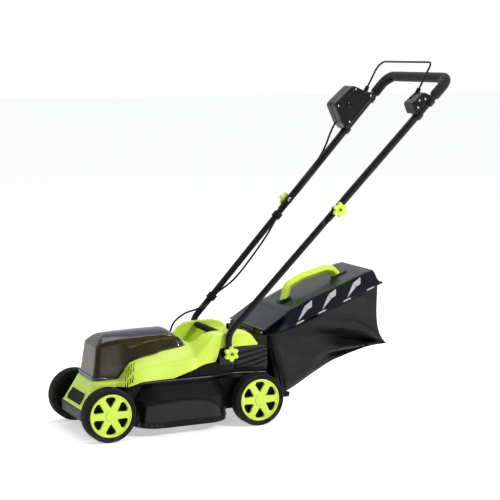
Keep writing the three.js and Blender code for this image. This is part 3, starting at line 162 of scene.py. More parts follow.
class Paint:
    """A procedural material: a shader whose colour, roughness and relief come from noise."""

    def __init__(self, name, roughness, metallic=0.0):
        self.material = bpy.data.materials.new(name)
        self.material.use_nodes = True
        self.tree = self.material.node_tree
        self.shader = self.tree.nodes["Principled BSDF"]
        self.shader.inputs["Metallic"].default_value = metallic
        self.shader.inputs["Roughness"].default_value = roughness
        self.where = self.tree.nodes.new("ShaderNodeTexCoord").outputs["Object"]

    def feed(self, socket, value):
        """Links another node's output to the socket, or sets the socket to a constant."""
        if hasattr(value, "node"):
            self.tree.links.new(value, socket)
        else:
            socket.default_value = value

    def node(self, kind, **inputs):
        made = self.tree.nodes.new(kind)
        for key, value in inputs.items():
            self.feed(made.inputs[key], value)
        return made

    def maths(self, operation, first, second=0.5):
        made = self.node("ShaderNodeMath")
        made.operation = operation
        self.feed(made.inputs[0], first)
        self.feed(made.inputs[1], second)
        return made.outputs[0]

    def noise(self, scale, detail=3.0, roughness=0.5):
        made = self.node("ShaderNodeTexNoise", Vector=self.where, Scale=scale, Detail=detail, Roughness=roughness)
        return made.outputs["Fac"]

    def ramp(self, value, stops):
        made = self.node("ShaderNodeValToRGB", Fac=value)
        points = made.color_ramp.elements
        while len(points) < len(stops):
            points.new(1.0)
        for point, (place, colour) in zip(points, stops):
            point.position = place
            point.color = colour
        return made.outputs["Color"]

    def mix(self, share, first, second):
        made = self.node("ShaderNodeMix")
        made.data_type = "RGBA"
        for key, value in (("Factor", share), ("A", first), ("B", second)):
            self.feed(next(s for s in made.inputs if s.name == key and s.enabled), value)
        return next(s for s in made.outputs if s.enabled)

    def map(self, value, low, high, to_low, to_high):
        made = self.node("ShaderNodeMapRange", Value=value)
        for key, number in (("From Min", low), ("From Max", high), ("To Min", to_low), ("To Max", to_high)):
            made.inputs[key].default_value = number
        return made.outputs["Result"]

    def edges(self):
        """1 on worn outer edges, 0 elsewhere."""
        convex = self.node("ShaderNodeNewGeometry").outputs["Pointiness"]
        return self.map(convex, 0.53, 0.62, 0.0, 1.0)

    def colour(self, value):
        self.feed(self.shader.inputs["Base Color"], value)

    def roughness(self, value):
        self.feed(self.shader.inputs["Roughness"], value)

    def gloss(self, low, high, scale=45, detail=4):
        """Roughness that drifts between two values."""
        self.roughness(self.map(self.noise(scale, detail), 0.2, 0.8, low, high))

    def tone(self, colour, scale, detail, low, high, at=(0.3, 0.7)):
        """The colour drifting between two shares of its brightness."""
        return self.ramp(self.noise(scale, detail), [(at[0], darker(colour, low)), (at[1], darker(colour, high))])

    def surface(self, **settings):
        """Sets plain inputs of the shader, such as Sheen_Weight=0.1."""
        for key, value in settings.items():
            self.shader.inputs[key.replace("_", " ")].default_value = value

    def relief(self, height, distance, strength=1.0):
        """Adds bump of that height, in metres, on top of any relief already there."""
        bump = self.node("ShaderNodeBump", Height=height, Distance=distance, Strength=strength)
        before = self.shader.inputs["Normal"].links
        if before:
            self.tree.links.new(before[0].from_socket, bump.inputs["Normal"])
        self.tree.links.new(bump.outputs["Normal"], self.shader.inputs["Normal"])


def darker(colour, share):
    """The colour at a share of its brightness."""
    return (colour[0] * share, colour[1] * share, colour[2] * share, 1)


def moulded(name, colour, roughness, grain=0.00004, wear=1.25, coat=0.0, grain_scale=1400, shine=0.5):
    """Injection-moulded plastic: slight tone drift, fine grain, paler rubbed edges and uneven gloss."""
    paint = Paint(name, roughness)
    specks = paint.map(paint.noise(260, 4, 0.7), 0.55, 0.8, 0.0, 0.25)
    tone = paint.mix(specks, paint.tone(colour, 9, 4, 0.93, 1.05), darker(colour, 0.8))
    paint.colour(paint.mix(paint.edges(), tone, darker(colour, wear)))
    paint.roughness(paint.map(paint.noise(34, 5, 0.65), 0.2, 0.8, roughness * 0.85, roughness * 1.2))
    paint.relief(paint.noise(grain_scale, 2), grain)
    paint.relief(paint.noise(22, 2), grain * 1.5)
    paint.surface(Specular_IOR_Level=shine, Coat_Weight=coat, Coat_Roughness=0.15)
    return paint.material


def tyre_plastic():
    """Dull black with pale dust that thins out 50 mm above the ground."""
    paint = Paint("tyre_plastic", 0.72)
    height = paint.node("ShaderNodeSeparateXYZ", Vector=paint.where).outputs["Z"]
    dust = paint.map(height, 0.0, 0.05, 0.45, 0.0)
    patch = paint.map(paint.noise(70, 6, 0.7), 0.45, 0.7, 0.0, 1.0)
    rubber = paint.tone(linear(20, 19, 17), 14, 5, 0.7, 1.15, (0.3, 0.75))
    paint.colour(paint.mix(paint.maths("MULTIPLY", dust, patch), rubber, linear(112, 110, 84)))
    paint.gloss(0.6, 0.82, 50)
    paint.relief(paint.noise(700, 3), 0.00012)
    paint.surface(Specular_IOR_Level=0.18)
    return paint.material


def bare_steel():
    """Steel with fine scratches along one direction."""
    paint = Paint("bare_steel", 0.3, 1.0)
    paint.colour(paint.tone(linear(190, 192, 196), 60, 5, 0.75, 1.0))
    stretch = paint.node("ShaderNodeMapping", Vector=paint.where, Scale=(1, 14, 1))
    scratch = paint.node("ShaderNodeTexNoise", Vector=stretch.outputs["Vector"], Scale=420, Detail=3)
    paint.roughness(paint.map(scratch.outputs["Fac"], 0.3, 0.7, 0.22, 0.42))
    paint.relief(scratch.outputs["Fac"], 0.00002)
    return paint.material


def painted_tube():
    """Black enamel on steel tube: orange-peel relief and a few scuffs."""
    paint = Paint("painted_tube", 0.35)
    scuffs = paint.map(paint.noise(130, 6, 0.75), 0.68, 0.76, 0.0, 0.5)
    enamel = paint.tone(linear(12, 12, 15), 12, 4, 0.85, 1.2)
    paint.colour(paint.mix(scuffs, enamel, linear(96, 96, 98)))
    paint.gloss(0.26, 0.46)
    paint.relief(paint.noise(420, 2), 0.00006)
    paint.surface(Specular_IOR_Level=0.2)
    return paint.material


def grip_foam():
    """Closed-cell foam: soft, dark, with fine pores."""
    paint = Paint("grip_foam", 0.9)
    cells = paint.node("ShaderNodeTexVoronoi", Vector=paint.where, Scale=620)
    paint.colour(paint.tone(linear(27, 26, 26), 24, 5, 0.6, 1.3, (0.3, 0.75)))
    paint.relief(cells.outputs["Distance"], 0.0004, 0.7)
    paint.relief(paint.noise(180, 4), 0.0003)
    paint.surface(Specular_IOR_Level=0.2, Sheen_Weight=0.12, Sheen_Roughness=0.5)
    return paint.material


def bag_fabric():
    """Coated polyester: a fine plain weave, a little lint, slight creases and a dull shine."""
    thread_gap = 0.0011
    paint = Paint("bag_fabric", 0.5)
    parts = paint.node("ShaderNodeSeparateXYZ", Vector=paint.where)
    threads = [paint.maths("SINE", paint.maths("MULTIPLY", parts.outputs[axis], 2 * math.pi / thread_gap))
               for axis in ("X", "Z")]
    lint = paint.map(paint.noise(900, 4, 0.8), 0.62, 0.8, 0.0, 0.4)
    cloth = paint.tone(linear(14, 14, 16), 11, 5, 0.65, 1.35, (0.3, 0.72))
    paint.colour(paint.mix(lint, cloth, linear(84, 84, 86)))
    paint.gloss(0.36, 0.56, 60)
    paint.relief(paint.maths("MULTIPLY", *threads), 0.00012, 0.8)
    paint.relief(paint.noise(55, 5, 0.6), 0.0009)
    paint.surface(Specular_IOR_Level=0.2, Sheen_Weight=0.02, Sheen_Roughness=0.4)
    return paint.material


def smoked_cover():
    """Tinted see-through plastic, with a painted sky reflection: the faces that look up are coloured darker and
    bluer.
    """
    paint = Paint("smoked_cover", 0.1)
    facing = paint.node("ShaderNodeNewGeometry").outputs["Normal"]
    up = paint.node("ShaderNodeSeparateXYZ", Vector=facing).outputs["Z"]
    # painted reflection: faces that look up get a dark navy colour in place of the sky they would reflect
    roof = paint.map(up, 0.35, 0.85, 0.0, 1.0)
    haze = paint.ramp(paint.noise(18, 4), [(0.3, linear(96, 88, 56)), (0.7, linear(116, 108, 70))])
    paint.colour(paint.mix(roof, haze, linear(38, 40, 70)))
    paint.gloss(0.06, 0.16, 40)
    paint.relief(paint.noise(30, 2), 0.00008)
    paint.surface(Transmission_Weight=0.9, IOR=1.46)
    return paint.material


def circuit_board():
    """Green lacquer with paler tracks."""
    colour = linear(24, 92, 48)
    paint = Paint("circuit_board", 0.4)
    tracks = paint.node("ShaderNodeTexVoronoi", Vector=paint.where, Scale=160)
    tracks.distance = "MANHATTAN"
    lines = paint.map(tracks.outputs["Distance"], 0.28, 0.34, 0.0, 1.0)
    paint.colour(paint.mix(lines, darker(colour, 1.5), colour))
    paint.relief(lines, 0.0001)
    return paint.material


LIME = moulded("lime_plastic", linear(188, 212, 66), 0.4, wear=1.1, coat=0.08)
BLACK = moulded("black_plastic", linear(10, 9, 10), 0.38, wear=3.0, shine=0.14)
GLOSS = moulded("gloss_plastic", linear(11, 10, 11), 0.22, grain=0.00002, wear=2.6, coat=0.0, shine=0.28)
LID = moulded("lid_plastic", linear(13, 15, 24), 0.3, wear=2.2, shine=0.18)
GREY = moulded("vent_plastic", linear(158, 158, 162), 0.6, grain=0.00015, wear=1.1, grain_scale=800)
BADGE = moulded("badge_plastic", linear(3, 8, 5), 0.3, grain=0.00001, wear=1.5, shine=0.03)
RED = moulded("red_plastic", linear(190, 40, 30), 0.4, wear=1.1)
CABLE = moulded("cable_rubber", linear(8, 8, 9), 0.45, wear=1.5, shine=0.15)
LIP = moulded("cover_lip", linear(34, 34, 56), 0.28, wear=1.5, coat=0.3)
TYRE = tyre_plastic()
STEEL = bare_steel()
TUBE = painted_tube()
FOAM = grip_foam()
FABRIC = bag_fabric()
SMOKE = smoked_cover()
BOARD = circuit_board()


# ---------- mesh tools ----------

def solid(name, points, faces):
    """A new object from points in the mower's own frame, with its faces turned outwards."""
    mesh = bpy.data.meshes.new(name)
    mesh.from_pydata([here(*point) for point in points], [], faces)
    work = bmesh.new()
    work.from_mesh(mesh)
    bmesh.ops.recalc_face_normals(work, faces=work.faces)
    work.to_mesh(mesh)
    work.free()
    made = bpy.data.objects.new(name, mesh)
    bpy.context.scene.collection.objects.link(made)
    return made


def settle(piece):
    """Applies the piece's modifiers."""
    graph = bpy.context.evaluated_depsgraph_get()
    mesh = bpy.data.meshes.new_from_object(piece.evaluated_get(graph))
    piece.modifiers.clear()
    piece.data = mesh
    return piece


def change(piece, kind, **settings):
    """Adds one modifier, sets it and applies it."""
    modifier = piece.modifiers.new(kind.lower(), kind)
    for key, value in settings.items():
        setattr(modifier, key, value)
    return settle(piece)


def cut(piece, *tools, use_self=False):
    """Takes the tools out of the piece."""
    for tool in tools:
        change(piece, "BOOLEAN", object=tool, operation="DIFFERENCE", solver="EXACT", use_self=use_self)
        bpy.data.objects.remove(tool)


def joined(piece, *others):
    """The pieces as one mesh, without a boolean."""
    work = bmesh.new()
    work.from_mesh(piece.data)
    for other in others:
        work.from_mesh(other.data)
        bpy.data.objects.remove(other)
    work.to_mesh(piece.data)
    work.free()
    return piece


def tidy_faces(piece, angle=1.0):
    """Welds doubled points and merges coplanar faces."""
    work = bmesh.new()
    work.from_mesh(piece.data)
    bmesh.ops.remove_doubles(work, verts=work.verts, dist=0.00002)
    bmesh.ops.dissolve_limit(work, angle_limit=math.radians(angle), verts=work.verts, edges=work.edges)
    work.to_mesh(piece.data)
    work.free()
    return piece


def shown(piece, material, angle=38):
    """Gives the piece its material and smooth shading that stops at sharp edges."""
    piece.data.materials.clear()
    piece.data.materials.append(material)
    piece.data.shade_smooth()
    piece.data.set_sharp_from_angle(angle=math.radians(angle))
    return change(piece, "WEIGHTED_NORMAL", keep_sharp=True)


def fitted(piece, body, slot, *nodes):
    """Mounts a finished piece on its body in place of its CAD nodes."""
    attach(piece, body)
    if nodes:
        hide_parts(*nodes)


def copied(node):
    """The CAD node's shape as a new piece of its own."""
    made = bpy.data.objects.new(f"{node}_shape", frame["nodes"][node].data.copy())
    bpy.context.scene.collection.objects.link(made)
    made.data.materials.clear()
    return made


def body_of_node(node):
    """The name of the body that a CAD node belongs to."""
    return next(body for body, nodes in frame["record"]["behaviour"]["bodies"].items() if node in nodes)


def slot_of_node(node):
    """The material slot that the record gives a CAD node."""
    return next(p["material_slot"] for p in frame["record"]["subparts"] if p["node"] == node)


def refined(node, width, material, segments=3):
    """Puts a CAD node's shape in its place, with its edges rounded as a mould does and its real finish."""
    piece = tidy_faces(copied(node))
    change(piece, "BEVEL", width=width * MM, segments=segments, limit_method="ANGLE",
           angle_limit=math.radians(30), harden_normals=False)
    fitted(shown(piece, material), body_of_node(node), slot_of_node(node), node)


# ---------- shapes ----------

def rounded_outline(corners, steps=5):
    """A closed outline in two dimensions. Each corner is (a, b, radius) and is rounded to an arc."""
    out = []
    count = len(corners)
    for index, (a, b, radius) in enumerate(corners):
        corner = Vector((a, b))
        back = (Vector(corners[index - 1][:2]) - corner)
        on = (Vector(corners[(index + 1) % count][:2]) - corner)
        if radius <= 0:
            out.append((a, b))
            continue
        half = back.angle(on) / 2
        reach = min(radius / math.tan(half), back.length * 0.48, on.length * 0.48)
        radius = reach * math.tan(half)
        enter = corner + back.normalized() * reach
        leave = corner + on.normalized() * reach
        centre = corner + (back.normalized() + on.normalized()).normalized() * (radius / math.sin(half))
        start, end = enter - centre, leave - centre
        turn = start.angle_signed(end, 0.0)
        for step in range(steps + 1):
            angle = -turn * step / steps
            spoke = Vector((start.x * math.cos(angle) - start.y * math.sin(angle),
                            start.x * math.sin(angle) + start.y * math.cos(angle)))
            out.append(tuple(centre + spoke))
    return out


def area_of(outline):
    """The outline's area, negative where it runs clockwise."""
    return sum(a[0] * b[1] - b[0] * a[1] for a, b in zip(outline, outline[1:] + outline[:1])) / 2


def shrunk(outline, distance):
    """The outline with every edge moved inwards by a distance."""
    if area_of(outline) < 0:
        distance = -distance
    out = []
    count = len(outline)
    for index, point in enumerate(outline):
        here_2d = Vector(point)
        first = here_2d - Vector(outline[index - 1])
        second = Vector(outline[(index + 1) % count]) - here_2d
        if first.length < 1e-9 or second.length < 1e-9:
            out.append(tuple(point))
            continue
        first.normalize()
        second.normalize()
        scale = distance / max(1 + first.dot(second), 0.35)
        out.append((point[0] - (first.y + second.y) * scale, point[1] + (first.x + second.x) * scale))
    return out


def circle(radius, steps, centre=(0, 0)):
    """A round outline."""
    angles = [2 * math.pi * k / steps for k in range(steps)]
    return [(centre[0] + radius * math.cos(a), centre[1] + radius * math.sin(a)) for a in angles]


def upright(a, b, t):
    """Places an outline along and up the mower, and its thickness across."""
    return (a, t, b)


def plate(name, outline, low, high, holes=(), edge=1.0, steps=3, place=upright):
    """A plate with rounded edges: the outline (a, b), less its holes, with t from low to high.

    place turns (a, b, t) into a point of the mower's own frame.
    """
    levels = []
    for step in range(steps + 1):
        angle = math.pi / 2 * step / steps
        levels.append((edge * (1 - math.sin(angle)), edge * (1 - math.cos(angle))))
    profile = [(inward, low + up) for inward, up in levels] if edge else [(0, low)]
    profile += [(inward, high - up) for inward, up in reversed(levels)] if edge else [(0, high)]
    rings = [list(outline)] + [list(hole) for hole in holes]

    def moved(number, inward):
        return shrunk(rings[number], inward if number == 0 else -inward) if inward else rings[number]

    points, faces, firsts, lasts = [], [], [], []
    for number, ring in enumerate(rings):
        start = len(points)
        count = len(ring)
        for inward, t in profile:
            points += [place(a, b, t) for a, b in moved(number, inward)]
        for level in range(len(profile) - 1):
            base = start + level * count
            for index in range(count):
                after = (index + 1) % count
                faces.append((base + index, base + after, base + count + after, base + count + index))
        firsts.append(range(start, start + count))
        lasts.append(range(start + (len(profile) - 1) * count, start + len(profile) * count))
    flat = [[Vector((a, b, 0)) for a, b in moved(number, profile[0][0])] for number in range(len(rings))]
    lows = [index for ring in firsts for index in ring]
    highs = [index for ring in lasts for index in ring]
    if len(rings) == 1:
        faces.append(tuple(lows))
        faces.append(tuple(highs))
    else:
        for triangle in tessellate_polygon(flat):
            faces.append(tuple(lows[i] for i in triangle))
            faces.append(tuple(highs[i] for i in triangle))
    return solid(name, points, faces)


def basis(axis):
    """The axis and two directions square to it."""
    axis = Vector(axis).normalized()
    across = axis.orthogonal().normalized()
    return axis, across, axis.cross(across)


def turned(name, profile, centre, axis, steps=48):
    """A solid of revolution. The profile is (radius, distance along the axis) points."""
    axis, across, up = basis(axis)
    centre = Vector(centre)
    points, faces = [], []
    for radius, along in profile:
        for step in range(steps):
            angle = 2 * math.pi * step / steps
            points.append(centre + axis * along + (across * math.cos(angle) + up * math.sin(angle)) * radius)
    rows = len(profile)
    for row in range(rows - 1):
        for step in range(steps):
            after = (step + 1) % steps
            faces.append((row * steps + step, row * steps + after,
                          (row + 1) * steps + after, (row + 1) * steps + step))
    if profile[0] != profile[-1]:
        faces.append(tuple(range(steps)))
        faces.append(tuple(range((rows - 1) * steps, rows * steps)))
    return tidy_faces(solid(name, points, faces), 0.01)


def pin(name, start, end, radius, edge=0.6, steps=24):
    """A round bar with slightly rounded ends."""
    start, end = Vector(start), Vector(end)
    length = (end - start).length
    profile = [(radius - edge, 0), (radius - edge * 0.3, edge * 0.3), (radius, edge),
               (radius, length - edge), (radius - edge * 0.3, length - edge * 0.3), (radius - edge, length)]
    return turned(name, profile, start, end - start, steps)


def smooth_line(corners, radii, spacing=4.0, arc_steps=12):
    """A route through the corners with each inner corner rounded to an arc, points about evenly spaced."""
    corners = [Vector(c) for c in corners]
    out = [corners[0]]
    for index in range(1, len(corners) - 1):
        corner = corners[index]
        back = (corners[index - 1] - corner)
        on = (corners[index + 1] - corner)
        half = back.angle(on) / 2
        radius = radii if isinstance(radii, (int, float)) else radii[index - 1]
        reach = min(radius / math.tan(half), back.length * 0.49, on.length * 0.49)
        radius = reach * math.tan(half)
        enter = corner + back.normalized() * reach
        centre = corner + (back.normalized() + on.normalized()).normalized() * (radius / math.sin(half))
        axis = (-back).cross(on).normalized()
        sweep = math.pi - 2 * half
        for step in range(arc_steps + 1):
            out.append(centre + Matrix.Rotation(sweep * step / arc_steps, 3, axis) @ (enter - centre))
    out.append(corners[-1])
    return evenly(out, spacing)


def evenly(points, spacing):
    """The same route with points spread evenly along it."""
    gaps = [(b - a).length for a, b in zip(points, points[1:])]
    total = sum(gaps)
    count = max(2, round(total / spacing))
    out, index, walked = [points[0]], 0, 0.0
    for step in range(1, count):
        target = total * step / count
        while walked + gaps[index] < target:
            walked += gaps[index]
            index += 1
        out.append(points[index].lerp(points[index + 1], (target - walked) / gaps[index]))
    out.append(points[-1])
    return out


def curve_through(points, spacing=4.0, per_span=10):
    """A Catmull-Rom curve through the points, which is the curve the CAD cable follows."""
    points = [Vector(p) for p in points]
    ends = [points[0] * 2 - points[1]] + points + [points[-1] * 2 - points[-2]]
    out = []
    for first, a, b, last in zip(ends, ends[1:], ends[2:], ends[3:]):
        t0 = 0.0
        t1 = t0 + math.sqrt((a - first).length)
        t2 = t1 + math.sqrt((b - a).length)
        t3 = t2 + math.sqrt((last - b).length)
        for step in range(per_span):
            t = t1 + (t2 - t1) * step / per_span
            a1 = first * ((t1 - t) / (t1 - t0)) + a * ((t - t0) / (t1 - t0))
            a2 = a * ((t2 - t) / (t2 - t1)) + b * ((t - t1) / (t2 - t1))
            a3 = b * ((t3 - t) / (t3 - t2)) + last * ((t - t2) / (t3 - t2))
            b1 = a1 * ((t2 - t) / (t2 - t0)) + a2 * ((t - t0) / (t2 - t0))
            b2 = a2 * ((t3 - t) / (t3 - t1)) + a3 * ((t - t1) / (t3 - t1))
            out.append(b1 * ((t2 - t) / (t2 - t1)) + b2 * ((t - t1) / (t2 - t1)))
    out.append(points[-1])
    return evenly(out, spacing)


def swept(name, route, radius, sides=16, section=None):
    """A round bar, or a bar of any (across, up) section, along a route. radius may vary along it."""
    axis, across, _ = basis(route[1] - route[0])
    points, faces = [], []
    for index, point in enumerate(route):
        before = route[max(index - 1, 0)]
        after = route[min(index + 1, len(route) - 1)]
        along = (after - before).normalized()
        across = (across - along * across.dot(along)).normalized()
        up = along.cross(across)
        size = radius(index / (len(route) - 1)) if callable(radius) else radius
        if section:
            points += [point + across * a * size + up * b * size for a, b in section]
        else:
            for side in range(sides):
                angle = 2 * math.pi * side / sides
                points.append(point + (across * math.cos(angle) + up * math.sin(angle)) * size)
    sides = len(section) if section else sides
    for row in range(len(route) - 1):
        for side in range(sides):
            after = (side + 1) % sides
            faces.append((row * sides + side, row * sides + after,
                          (row + 1) * sides + after, (row + 1) * sides + side))
    faces.append(tuple(range(sides)))
    faces.append(tuple(range((len(route) - 1) * sides, len(route) * sides)))
    return solid(name, points, faces)


def bar(name, route, section):
    """A bar of one section along a route."""
    return swept(name, [Vector(point) for point in route], 1.0, section=section)


def lofted(name, rings, skin=False):
    """A solid through closed rings with the same number of points, or an open skin through open rows of them."""
    count = len(rings[0])
    points = [point for ring in rings for point in ring]
    faces = []
    for row in range(len(rings) - 1):
        for index in range(count - 1 if skin else count):
            after = (index + 1) % count
            faces.append((row * count + index, row * count + after,
                          (row + 1) * count + after, (row + 1) * count + index))
    if not skin:
        faces.append(tuple(range(count)))
        faces.append(tuple(range((len(rings) - 1) * count, len(rings) * count)))
    return solid(name, points, faces)


def thickened(skin, thickness, outwards):
    """Turns an open skin to look mostly in a direction, and gives it a wall behind."""
    skin.data.update()
    if sum(face.normal.dot(outwards) * face.area for face in skin.data.polygons) < 0:
        skin.data.flip_normals()
    return change(skin, "SOLIDIFY", thickness=thickness * MM, offset=-1.0)


def smoothstep(low, high, value):
    """0 up to low, 1 from high on, and a smooth rise between; low may be the larger."""
    share = min(1.0, max(0.0, (value - low) / (high - low)))
    return share * share * (3 - 2 * share)


def along(stops, value):
    """The value at a place on a polyline of (place, value) stops."""
    if value <= stops[0][0]:
        return stops[0][1]
    for (a, first), (b, second) in zip(stops, stops[1:]):
        if value <= b:
            return first + (second - first) * (value - a) / (b - a)
    return stops[-1][1]


def eased(stops, value, reach):
    """The polyline averaged over a short reach either side, which rounds its corners."""
    samples = 9
    return sum(along(stops, value + reach * (2 * k / (samples - 1) - 1)) for k in range(samples)) / samples


# ---------- wheels ----------

WHEEL_RADIUS = 75
WHEEL_INNER = 123                  # distance of the tyre's faces from the mower's middle
WHEEL_OUTER = 163
WHEELS = (("front", "left", -1, "wheel_fl"), ("front", "right", 1, "wheel_fr"),
          ("rear", "left", -1, "wheel_rl"), ("rear", "right", 1, "wheel_rr"))
WHEELBASE = middle_of("wheel_rear_left").x


def make_tyre(name, centre, side):
    """Tyre, hub web with ribs inside, and boss, in one moulding."""
    middle = (WHEEL_INNER + WHEEL_OUTER) / 2
    half = (WHEEL_OUTER - WHEEL_INNER) / 2
    groove = 1.2
    tread = []
    for place in (-11, -4, 4, 11):
        tread += [(WHEEL_RADIUS, place - 1.6), (WHEEL_RADIUS - groove, place - 0.9),
                  (WHEEL_RADIUS - groove, place + 0.9), (WHEEL_RADIUS, place + 1.6)]
    shoulder = [(WHEEL_RADIUS - 6 + 6 * math.sin(a), half - 6 + 6 * math.cos(a))
                for a in (math.pi / 2 * k / 6 for k in range(7))]
    wall = [(60, half - 3), (61, half - 0.6), (63, half), (65.6, half), (66, half - 1), (66.6, half - 1),
            (67, half)]
    inner = [(13, -half - 5), (13, -half + 9), (59, -half + 9), (60, -half), (63, -half - 0.2)]
    low_shoulder = [(WHEEL_RADIUS - 4 + 4 * math.sin(a), -half + 4 - 4 * math.cos(a))
                    for a in (math.pi / 2 * k / 4 for k in range(5))]
    outer_web = [(59, half - 19), (13, half - 19), (13, half - 9), (6, half - 9)]
    profile = ([(6, -half - 5)] + inner + low_shoulder + tread + list(reversed(shoulder))
               + list(reversed(wall)) + outer_web + [(6, -half - 5)])
    tyre = turned(name, profile, (centre[0], side * middle, centre[2]), (0, side, 0), 96)
    parts = []
    for index in range(12):
        angle = 2 * math.pi * index / 12
        parts.append(rib(centre, side, angle, 13, 60, 1.6, middle - half + 1, middle - half + 10))
    return joined(tyre, *parts)


def rib(centre, side, angle, start, end, thickness, low, high):
    """A flat rib standing out from the wheel's middle."""
    out = Vector((math.cos(angle), 0, math.sin(angle)))
    wide = Vector((-math.sin(angle), 0, math.cos(angle))) * thickness / 2
    middle = Vector((centre[0], 0, centre[2]))
    points = []
    for y in (low, high):
        for reach, sign in ((start, -1), (end, -1), (end, 1), (start, 1)):
            points.append(middle + out * reach + wide * sign + Vector((0, side * y, 0)))
    faces = [(0, 1, 2, 3), (4, 5, 6, 7), (0, 1, 5, 4), (1, 2, 6, 5), (2, 3, 7, 6), (3, 0, 4, 7)]
    return solid("rib", points, faces)


def make_wheel_cover(name, centre, side):
    """The lime disc: a rolled rim, six spokes with deep windows between them, and a domed hub cap."""
    outer = WHEEL_OUTER - 1

    def place(a, b, t):
        return (centre[0] + a, side * t, centre[2] + b)

    windows = []
    for index in range(6):
        angle = math.pi / 2 + index * math.pi / 3
        corners = [(21.5, 0, 2), (44, 15, 2.5), (51, 11.5, 3), (52.5, 0, 8), (51, -11.5, 3), (44, -15, 2.5)]
        outline = rounded_outline(corners, 4)
        windows.append([(r * math.cos(angle) - w * math.sin(angle), r * math.sin(angle) + w * math.cos(angle))
                        for r, w in outline])
    disc = plate(name, circle(56, 96), outer - 10, outer - 1.4, holes=windows, edge=1.3, place=place)
    centre_point = (centre[0], 0, centre[2])
    rim = [(54.5, outer - 11), (54.5, outer - 1.2), (55.4, outer), (57.5, outer + 0.6), (59.4, outer - 0.2),
           (60, outer - 1.6), (60, outer - 11), (54.5, outer - 11)]
    cap = [(0.01, outer - 8), (14.6, outer - 8), (15.2, outer - 1), (14.8, outer + 0.4), (13.2, outer + 1.2),
           (10, outer + 1.2), (9.4, outer + 0.7), (5, outer + 1.1), (0.01, outer + 1.3)]
    return joined(disc, turned("rim", rim, centre_point, (0, side, 0), 96),
                  turned("cap", cap, centre_point, (0, side, 0), 48))


def make_wheels():
    """A tyre and a lime cover on each of the four wheel bodies."""
    for end, name, side, body in WHEELS:
        centre = (0 if end == "front" else WHEELBASE, 0, WHEEL_RADIUS)
        tyre = shown(make_tyre(f"tyre_{end}_{name}", centre, side), TYRE)
        fitted(tyre, body, "tyre_plastic", f"wheel_{end}_{name}")
        disc = shown(make_wheel_cover(f"wheel_disc_{end}_{name}", centre, side), LIME)
        fitted(disc, body, "lime_plastic", f"wheel_cover_{end}_{name}")


# ---------- hand knobs and bolts ----------

def make_knob(name, node, side):
    """A six-lobed star knob with finger hollows and a sunk centre."""
    centre = middle_of(node)
    base = min(abs(corner.y) for corner in span(node))       # distance of its seat from the mower's middle
    steps = 96
    outline = []
    for index in range(steps):
        angle = 2 * math.pi * index / steps
        wave = 0.5 + 0.5 * math.cos(6 * angle + math.pi)
        radius = 15.2 + 7.0 * wave ** 0.75
        outline.append((radius * math.cos(angle), radius * math.sin(angle)))

    def place(a, b, t):
        return (centre.x + a, side * t, centre.z + b)

    star = plate(name, outline, base + 4, base + 15, holes=[circle(4.6, 32)], edge=2.2, steps=4, place=place)
    collar = [(9.2, base + 13), (9.8, base + 16), (9.2, base + 16.8), (6.4, base + 16.8), (5.6, base + 16),
              (5.2, base + 13), (9.2, base + 13)]
    neck = [(5, base), (11, base), (11.6, base + 2), (12.4, base + 5), (5, base + 5), (5, base)]
    middle = (centre.x, 0, centre.z)
    return joined(star, turned("collar", collar, middle, (0, side, 0), 48),
                  turned("neck", neck, middle, (0, side, 0), 48))


def make_knobs():
    """The four star knobs and the carriage bolts they turn on."""
    for place in ("pivot", "joint"):
        for name, side in SIDES:
            node = f"{place}_knob_{name}"
            knob = shown(make_knob(f"{place}_star_{name}", node, side), LIME)
            fitted(knob, f"{place}_knob_{name[0]}", "lime_plastic", node)
            bolt = f"{place}_bolt_{name}"
            inner, outer = sorted(abs(corner.y) for corner in span(bolt))
            middle = middle_of(bolt)
            profile = [(0.01, inner - 1.2), (5, inner - 1), (8, inner + 0.6), (9, inner + 2.6), (9, inner + 4.4),
                       (4, inner + 4.5), (4, outer - 9), (3.2, outer - 8), (0.01, outer - 8)]
            shank = turned(f"{place}_carriage_bolt_{name}", profile, (middle.x, 0, middle.z),
                           (0, side, 0), 32)
            fitted(shown(shank, STEEL), body_of_node(bolt), "bare_steel", bolt)


# ---------- handle ----------

JOINT = middle_of("joint_bolt_left")
JOINT.y = 150                       # where each leg's two tubes meet, from the mower's middle
PIVOT = middle_of("pivot_bolt_left")
PIVOT.y = 127.25                    # the lower tubes' feet, from the mower's middle
LEAN = math.radians(45.86)
FLARE = 0.048                       # how far each leg spreads outwards for each millimetre up it
LOWER_TUBE = 9.5
UPPER_TUBE = 11
UPPER_LENGTH = 518.5
TUBE_GAP = 0.25                     # between the joint face and each tube
GRIP_BEND = 65
FOAM_RADIUS = 15.5
FOAM_START = 445


def on_leg(s, n=0.0, y=0.0):
    """A point beside the handle: s along the leg from the middle joint, n in front of it."""
    return Vector((JOINT.x + s * math.cos(LEAN) - n * math.sin(LEAN), y,
                   JOINT.z + s * math.sin(LEAN) + n * math.cos(LEAN)))


def leg_y(s):
    """A leg's distance from the mower's middle at a place along it."""
    return JOINT.y + FLARE * s


def leg_place(vertex):
    """How far up the leg a mesh point is from the middle joint, and how far from the mower's middle."""
    x = (vertex.co.x - FRONT_AXLE_X) / MM - JOINT.x
    z = vertex.co.z / MM - JOINT.z
    return x * math.cos(LEAN) + z * math.sin(LEAN), vertex.co.y / MM


